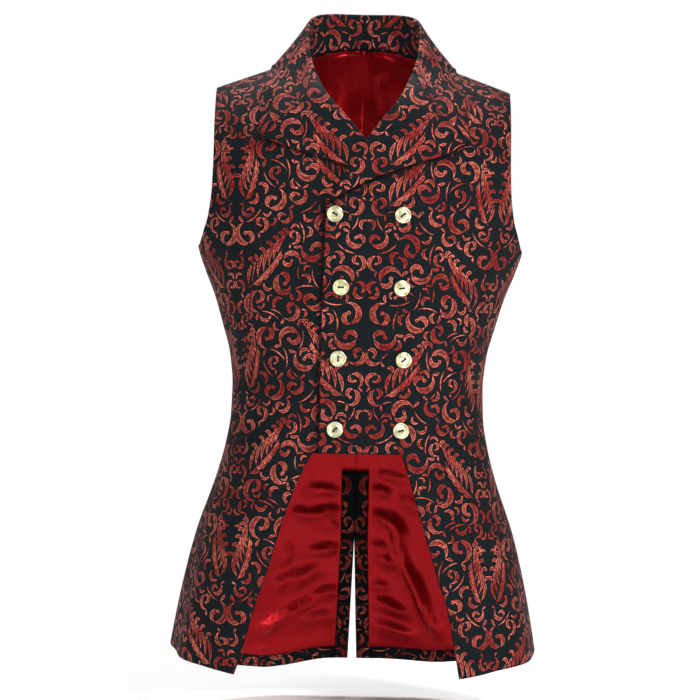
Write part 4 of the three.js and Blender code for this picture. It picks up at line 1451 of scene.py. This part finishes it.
def brocade_look(cell, pattern):
    """Black ground with scrolls in dark red, edged and veined in a lighter metallic red."""
    material, n, shader = new_material(f"brocade_{cell}")
    cloth = cloth_place(n)
    mark = n.split(n.marked("seam")["Vector"])
    gap = n.math("SUBTRACT", mark["X"], float(SEAM_ZERO))
    beyond = n.math("MULTIPLY", n.math("GREATER_THAN", gap, 0.0), mark["Y"])
    shift = n.scaled(DART_SHIFT, beyond)
    seam = n.math("MULTIPLY", n.step(n.math("ABSOLUTE", gap), *SEAM_LINE), mark["Y"])
    near = n.group(pattern, {"Cloth": n.vector("ADD", cloth, shift)})
    grain = n.noise(cloth, 1.1, 2.0, 0.7)
    near = n.math("MULTIPLY_ADD", grain, FRAY, n.math("SUBTRACT", near, FRAY_BACK))
    figure = n.step(near, *SCROLL_BAND)
    edge = n.step(near, *EDGE_BAND)
    vein = n.math("MULTIPLY", *[n.step(near, *band) for band in VEIN_BANDS])
    cloud = n.noise(cloth, 0.03, 2.0)
    fill = n.math("MULTIPLY", n.step(n.noise(cloth, 0.16, 2.0), 0.56, 0.74), 0.7)
    tone = n.math("MAXIMUM", edge, n.math("MAXIMUM", n.math("MULTIPLY", vein, 0.7), fill))
    tone = n.math("MULTIPLY", tone, n.step(n.noise(cloth, 0.3, 2.0), 0.3, 0.62, 0.15, 1.0))
    light = n.mix(n.step(cloud, 0.38, 0.62), *LIGHT_RED)
    dark = n.mix(n.step(grain, 0.35, 0.7), *DARK_RED)
    ground = n.mix(n.noise(cloth, 0.25, 3.0), *GROUND)
    colour = n.mix(figure, ground, n.mix(tone, dark, light))
    # The dart seams' dark line, painted shade along the cloth's edges and painted shadow under the
    # lapels and beside the overlap all turn the colour black
    shade = n.marked("shade")["Fac"]
    dim = n.math("MAXIMUM", n.math("MULTIPLY", seam, 0.8), shade)
    n.fill(shader, {
        "Base Color": n.mix(dim, colour, SEAM_AND_SHADE_BLACK),
        "Metallic": n.math("MULTIPLY", figure, 0.4),
        "Roughness": n.math("MULTIPLY_ADD", figure, -0.14, 0.56),
        "Specular IOR Level": 0.06,
        "Sheen Weight": 0.012,
        "Sheen Roughness": 0.4,
        "Sheen Tint": (0.75, 0.62, 0.62, 1),
    })
    height = n.math("SUBTRACT", thread_height(n, cloth), n.math("MULTIPLY", seam, 2.0))
    finish_bump(n, shader, height, 0.00025, 0.7)
    return material


def satin_look():
    """Glossy red with fine threads, soft ripples and a slow change of tone."""
    material, n, shader = new_material("red_satin")
    cloth = cloth_place(n)
    cloud = n.noise(cloth, 0.03, 3.0)
    red = n.mix(cloud, (0.29, 0.003, 0.007, 1), (0.43, 0.008, 0.013, 1))
    fine = n.noise(cloth, 1.4, 2.0, 0.6)
    red = n.mix(n.math("MULTIPLY", fine, 0.25), red, (0.36, 0.002, 0.006, 1))
    n.fill(shader, {
        "Base Color": red,
        "Roughness": n.math("MULTIPLY_ADD", cloud, 0.10, 0.22),
        "Metallic": 0.8,
        "Specular IOR Level": 0.4,
        "Sheen Weight": 0.06,
        "Sheen Roughness": 0.3,
        "Sheen Tint": (1.0, 0.25, 0.25, 1),
    })
    soft = {"Vector": cloth, "Rotation": (0, 0, 0.6), "Scale": (1.0, 0.35, 1.0)}
    ripples = n.noise(n.add("ShaderNodeMapping", soft).outputs[0], 0.06, 0.0)
    threads = n.math("MULTIPLY", thread_height(n, cloth, 1.6), 0.25)
    height = n.math("MULTIPLY_ADD", ripples, 9.0, threads)
    finish_bump(n, shader, height, 0.00018, 0.8)
    return material


def metal_look():
    """Pale gilt with duller and brighter patches."""
    material, n, shader = new_material("button_gilt")
    place_in = n.add("ShaderNodeTexCoord").outputs["Object"]
    patch = n.noise(place_in, 160.0, 3.0, 0.6)
    fine = n.noise(place_in, 1500.0, 2.0, 0.6)
    gilt = n.mix(n.step(patch, 0.35, 0.65), (0.52, 0.49, 0.27, 1), (0.66, 0.66, 0.46, 1))
    rough = n.math("MULTIPLY_ADD", patch, 0.22, 0.2)
    n.fill(shader, {"Base Color": gilt, "Metallic": 0.85, "Roughness": rough})
    finish_bump(n, shader, fine, 0.00004, 0.6)
    return material


def thread_and_hole_shade_look():
    """Black twisted thread; its black is also put on the walls of the holes as painted shade."""
    material, n, shader = new_material("button_thread_and_hole_shade")
    place_in = n.add("ShaderNodeTexCoord").outputs["Object"]
    inputs = {"Vector": place_in, "Scale": 900.0, "Distortion": 1.0}
    twist = n.add("ShaderNodeTexWave", inputs, bands_direction="DIAGONAL").outputs["Fac"]
    black = n.mix(twist, (0.006, 0.006, 0.007, 1), (0.035, 0.03, 0.03, 1))
    n.fill(shader, {"Base Color": black, "Roughness": 0.8, "Specular IOR Level": 0.15})
    finish_bump(n, shader, twist, 0.0001)
    return material


one_stroke, one_dot = stroke_group(), dot_group()
cells = range(CELLS_ACROSS * CELLS_UP)
brocade = [brocade_look(cell, scroll_pattern(cell, one_stroke, one_dot)) for cell in cells]
satin = [satin_look()]
gilt = metal_look()
thread = thread_and_hole_shade_look()

# Buttons

# Gap between a button and the cloth
BUTTON_SEAT = 0.35
# Radius and height of the turned face
BUTTON_PROFILE = [
    (0.0, 0.0), (7.2, 0.0), (8.3, 0.35), (8.85, 0.95), (9.0, 1.7), (8.8, 2.5), (8.35, 2.95),
    (7.8, 3.1), (7.3, 2.95), (6.95, 2.5), (6.7, 1.85), (6.35, 1.45), (5.9, 1.42), (5.4, 1.7),
    (4.6, 1.92), (0.0, 2.0),
]
BUTTON_SIDES = 72
SHARP_ANGLE = math.radians(40)
# Distance of the two holes from the middle, their radius, and the shape that cuts them
HOLE_AT = 2.15
HOLE_RADIUS = 1.3
HOLE_PROFILE = [(0, -1), (HOLE_RADIUS, -1), (HOLE_RADIUS, 4), (0, 4)]
HOLE_SIDES = 24
# Two strands side by side, their radius and sides, and half their way from hole to hole
THREADS = (-0.42, 0.42)
THREAD_RADIUS = 0.42
THREAD_SIDES = 8
THREAD_PATH = [(-HOLE_AT, 0.9), (-0.95 * HOLE_AT, 2.0), (-0.6 * HOLE_AT, 2.55), (0, 2.7)]


def lathe(profile, sides):
    """Points and faces of a profile turned round z."""
    points, faces = [], []
    rings = []
    for radius, height in profile:
        if radius == 0:
            rings.append([len(points)] * sides)
            points.append((0, 0, height))
            continue
        rings.append(list(range(len(points), len(points) + sides)))
        for k in range(sides):
            angle = 2 * math.pi * k / sides
            points.append((radius * math.cos(angle), radius * math.sin(angle), height))
    for low, high in zip(rings, rings[1:]):
        for k in range(sides):
            corners = [low[k], low[(k + 1) % sides], high[(k + 1) % sides], high[k]]
            faces.append(list(dict.fromkeys(corners)))
    return points, faces


def temporary(name, points, faces):
    mesh = bpy.data.meshes.new(name)
    mesh.from_pydata(points, [], faces)
    return linked(name, mesh)


def pierced_button():
    """Mesh of one button in millimetres with its two holes cut through."""
    body = temporary("button_blank", *lathe(BUTTON_PROFILE, BUTTON_SIDES))
    drills = []
    for side in (-1, 1):
        drill = temporary("drill", *lathe(HOLE_PROFILE, HOLE_SIDES))
        drill.location = (side * HOLE_AT, 0, 0)
        cut = body.modifiers.new("hole", "BOOLEAN")
        cut.object = drill
        cut.operation = "DIFFERENCE"
        cut.solver = "EXACT"
        drills.append(drill)
    bpy.context.view_layer.update()
    seen = body.evaluated_get(bpy.context.evaluated_depsgraph_get())
    mesh = bpy.data.meshes.new_from_object(seen)
    for thing in [body, *drills]:
        bpy.data.objects.remove(thing)
    return mesh


def thread_strand(offset):
    """Tube from one hole over the middle to the other."""
    path = THREAD_PATH + [(-x, z) for x, z in reversed(THREAD_PATH[:-1])]
    sides = THREAD_SIDES
    points, faces = [], []
    for k, (x, z) in enumerate(path):
        before, after = path[max(k - 1, 0)], path[min(k + 1, len(path) - 1)]
        ahead = math.atan2(after[1] - before[1], after[0] - before[0])
        for s in range(sides):
            angle = 2 * math.pi * s / sides
            out = THREAD_RADIUS * math.cos(angle)
            points.append((
                x - out * math.sin(ahead),
                offset + THREAD_RADIUS * math.sin(angle),
                z + out * math.cos(ahead),
            ))
    for k in range(len(path) - 1):
        for s in range(sides):
            a, b = k * sides + s, k * sides + (s + 1) % sides
            faces.append([a, b, b + sides, a + sides])
    faces.append(list(range(sides))[::-1])
    faces.append([len(points) - sides + s for s in range(sides)])
    return points, faces


def button_meshes():
    """Points, faces and materials of a button with its thread; the walls of its holes are painted
    black as shade.
    """
    metal = pierced_button()
    points = np.array([v.co for v in metal.vertices])
    faces = [list(p.vertices) for p in metal.polygons]
    centers = np.array([p.center for p in metal.polygons])
    reach = np.hypot(np.abs(centers[:, 0]) - HOLE_AT, centers[:, 1])
    # Faces on the holes' walls take the thread's black: painted shade inside the holes
    look = [1 if r < HOLE_RADIUS * 1.01 else 0 for r in reach]
    for offset in THREADS:
        strand, strand_faces = thread_strand(offset)
        faces += [[k + len(points) for k in face] for face in strand_faces]
        points = np.concatenate([points, np.array(strand)])
        look += [1] * len(strand_faces)
    return points, faces, look


button_points, button_faces, button_looks = button_meshes()


def button(name, x, z, turn):
    """Button on the left front with its thread turned by so many degrees."""
    point, normal = (Vector(v) for v in on_form(-1, 1, place(x, z)))
    seat = point + normal * float(overlap_lift(x, z) + BUTTON_SEAT)
    right = Vector((1, 0, 0))
    right = (right - normal * right.dot(normal)).normalized()
    up = normal.cross(right)
    angle = math.radians(turn)
    side = right * math.cos(angle) + up * math.sin(angle)
    axes = Matrix((side, normal.cross(side), normal)).transposed()
    points = button_points @ np.array(axes).T + np.array(seat)
    mesh = bpy.data.meshes.new(name)
    mesh.from_pydata((points / 1000).tolist(), [], button_faces)
    for material in (gilt, thread):
        mesh.materials.append(material)
    mesh.polygons.foreach_set("material_index", button_looks)
    mesh.polygons.foreach_set("use_smooth", np.ones(len(button_faces), bool))
    mesh.set_sharp_from_angle(angle=SHARP_ANGLE)
    return linked(name, mesh)


# All pieces, by the CAD node that each stands in for
made = {}
for hand, word in ((1, "left"), (-1, "right")):
    made[f"front_{word}"] = front(hand, [brocade, satin])
    mark_dart(made[f"front_{word}"], hand)
    mark_shadows(made[f"front_{word}"], hand)
    made[f"lapel_{word}"] = lapel(hand, [brocade, brocade])
    names = ("back", "vent_facing", "hem_facing", "back_lining")
    for name, piece in zip(names, back_pieces(hand, brocade, satin)):
        made[f"{name}_{word}"] = piece
made["collar"] = collar([brocade, brocade])
for k, (z, inner, outer, inner_turn, outer_turn) in enumerate(BUTTONS, 1):
    made[f"button_inner_{k}"] = button(f"inner_button_{k}", inner, z, inner_turn)
    made[f"button_outer_{k}"] = button(f"outer_button_{k}", outer, z, outer_turn)
for node, piece in made.items():
    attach(piece, "root")
    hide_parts(node)

# Camera at the photo's place and turn

CAMERA_AT = Vector((-0.0094, -3.0, -0.3215))
CAMERA_ROLL = math.radians(-1.13)
FOCAL_PIXELS = 2631.6
PHOTO_PIXELS = 700
SENSOR = 36.0

camera_data = bpy.data.cameras.new("camera")
camera_data.sensor_width = SENSOR
camera_data.lens = FOCAL_PIXELS / PHOTO_PIXELS * SENSOR
camera = linked("camera", camera_data)
camera.location = CAMERA_AT
camera.rotation_euler = (math.pi / 2, CAMERA_ROLL, 0)
bpy.context.scene.camera = camera

# Pale floor and soft studio light

FLOOR_Z = -0.735
FLOOR_HALF = 3.0
# Distances from its middle at which the floor begins and ends its turn to the white background
FLOOR_FADE = (0.85, 1.25)
WHITE = (1, 1, 1, 1)


def floor():
    """Floor that turns to the background's white where the camera sees its far parts."""
    corners = [(-1, -1), (1, -1), (1, 1), (-1, 1)]
    points = [(x * FLOOR_HALF, y * FLOOR_HALF, FLOOR_Z) for x, y in corners]
    mesh = bpy.data.meshes.new("studio_floor")
    mesh.from_pydata(points, [], [(0, 1, 2, 3)])
    material, n, shader = new_material("pale_floor")
    place_on = n.add("ShaderNodeTexCoord").outputs["Object"]
    cloud = n.noise(place_on, 1.5, 3.0)
    pale = n.mix(cloud, (0.93, 0.93, 0.93, 1), (0.96, 0.96, 0.96, 1))
    n.fill(shader, {"Base Color": pale, "Roughness": 0.9, "Specular IOR Level": 0.1})
    far = n.step(n.vector("LENGTH", place_on), *FLOOR_FADE)
    rim = n.math("MULTIPLY", far, n.add("ShaderNodeLightPath").outputs["Is Camera Ray"])
    white = n.add("ShaderNodeEmission", {"Color": WHITE, "Strength": 1.0}).outputs[0]
    blend = n.add("ShaderNodeMixShader", {0: rim, 1: shader.outputs[0], 2: white}).outputs[0]
    n.put(material.node_tree.nodes["Material Output"].inputs["Surface"], blend)
    mesh.materials.append(material)
    linked("studio_floor", mesh)


floor()

# The background is seen white and lights the cloth more dimly
WORLD_LIGHT = 0.30

world = bpy.data.worlds.new("studio")
world.use_nodes = True
n = Nodes(world.node_tree)
lit = world.node_tree.nodes["Background"]
n.fill(lit, {"Color": WHITE, "Strength": WORLD_LIGHT})
seen = n.add("ShaderNodeBackground", {"Color": WHITE, "Strength": 1.0})
shares = n.add("ShaderNodeMixShader", {
    0: n.add("ShaderNodeLightPath").outputs["Is Camera Ray"],
    1: lit.outputs[0],
    2: seen.outputs[0],
})
n.put(world.node_tree.nodes["World Output"].inputs["Surface"], shares.outputs[0])
bpy.context.scene.world = world
bpy.context.scene.view_settings.view_transform = "Standard"

# Place, size and power of each softbox, all turned to the middle of the waistcoat
MIDDLE = Vector((0, 0, -0.33))
SOFTBOXES = [
    ((1.1, -2.2, 1.3), 0.7, 84),
    ((-1.7, -2.1, 0.3), 1.0, 30),
    ((1.9, -1.5, -0.7), 0.5, 40),
    ((-0.3, 1.0, 2.1), 1.2, 60),
]
for k, (at, size, power) in enumerate(SOFTBOXES, 1):
    light_data = bpy.data.lights.new(f"softbox_{k}", "AREA")
    light_data.size = size
    light_data.energy = power
    light = linked(f"softbox_{k}", light_data)
    light.location = at
    light.rotation_euler = (MIDDLE - Vector(at)).to_track_quat("-Z", "Y").to_euler()
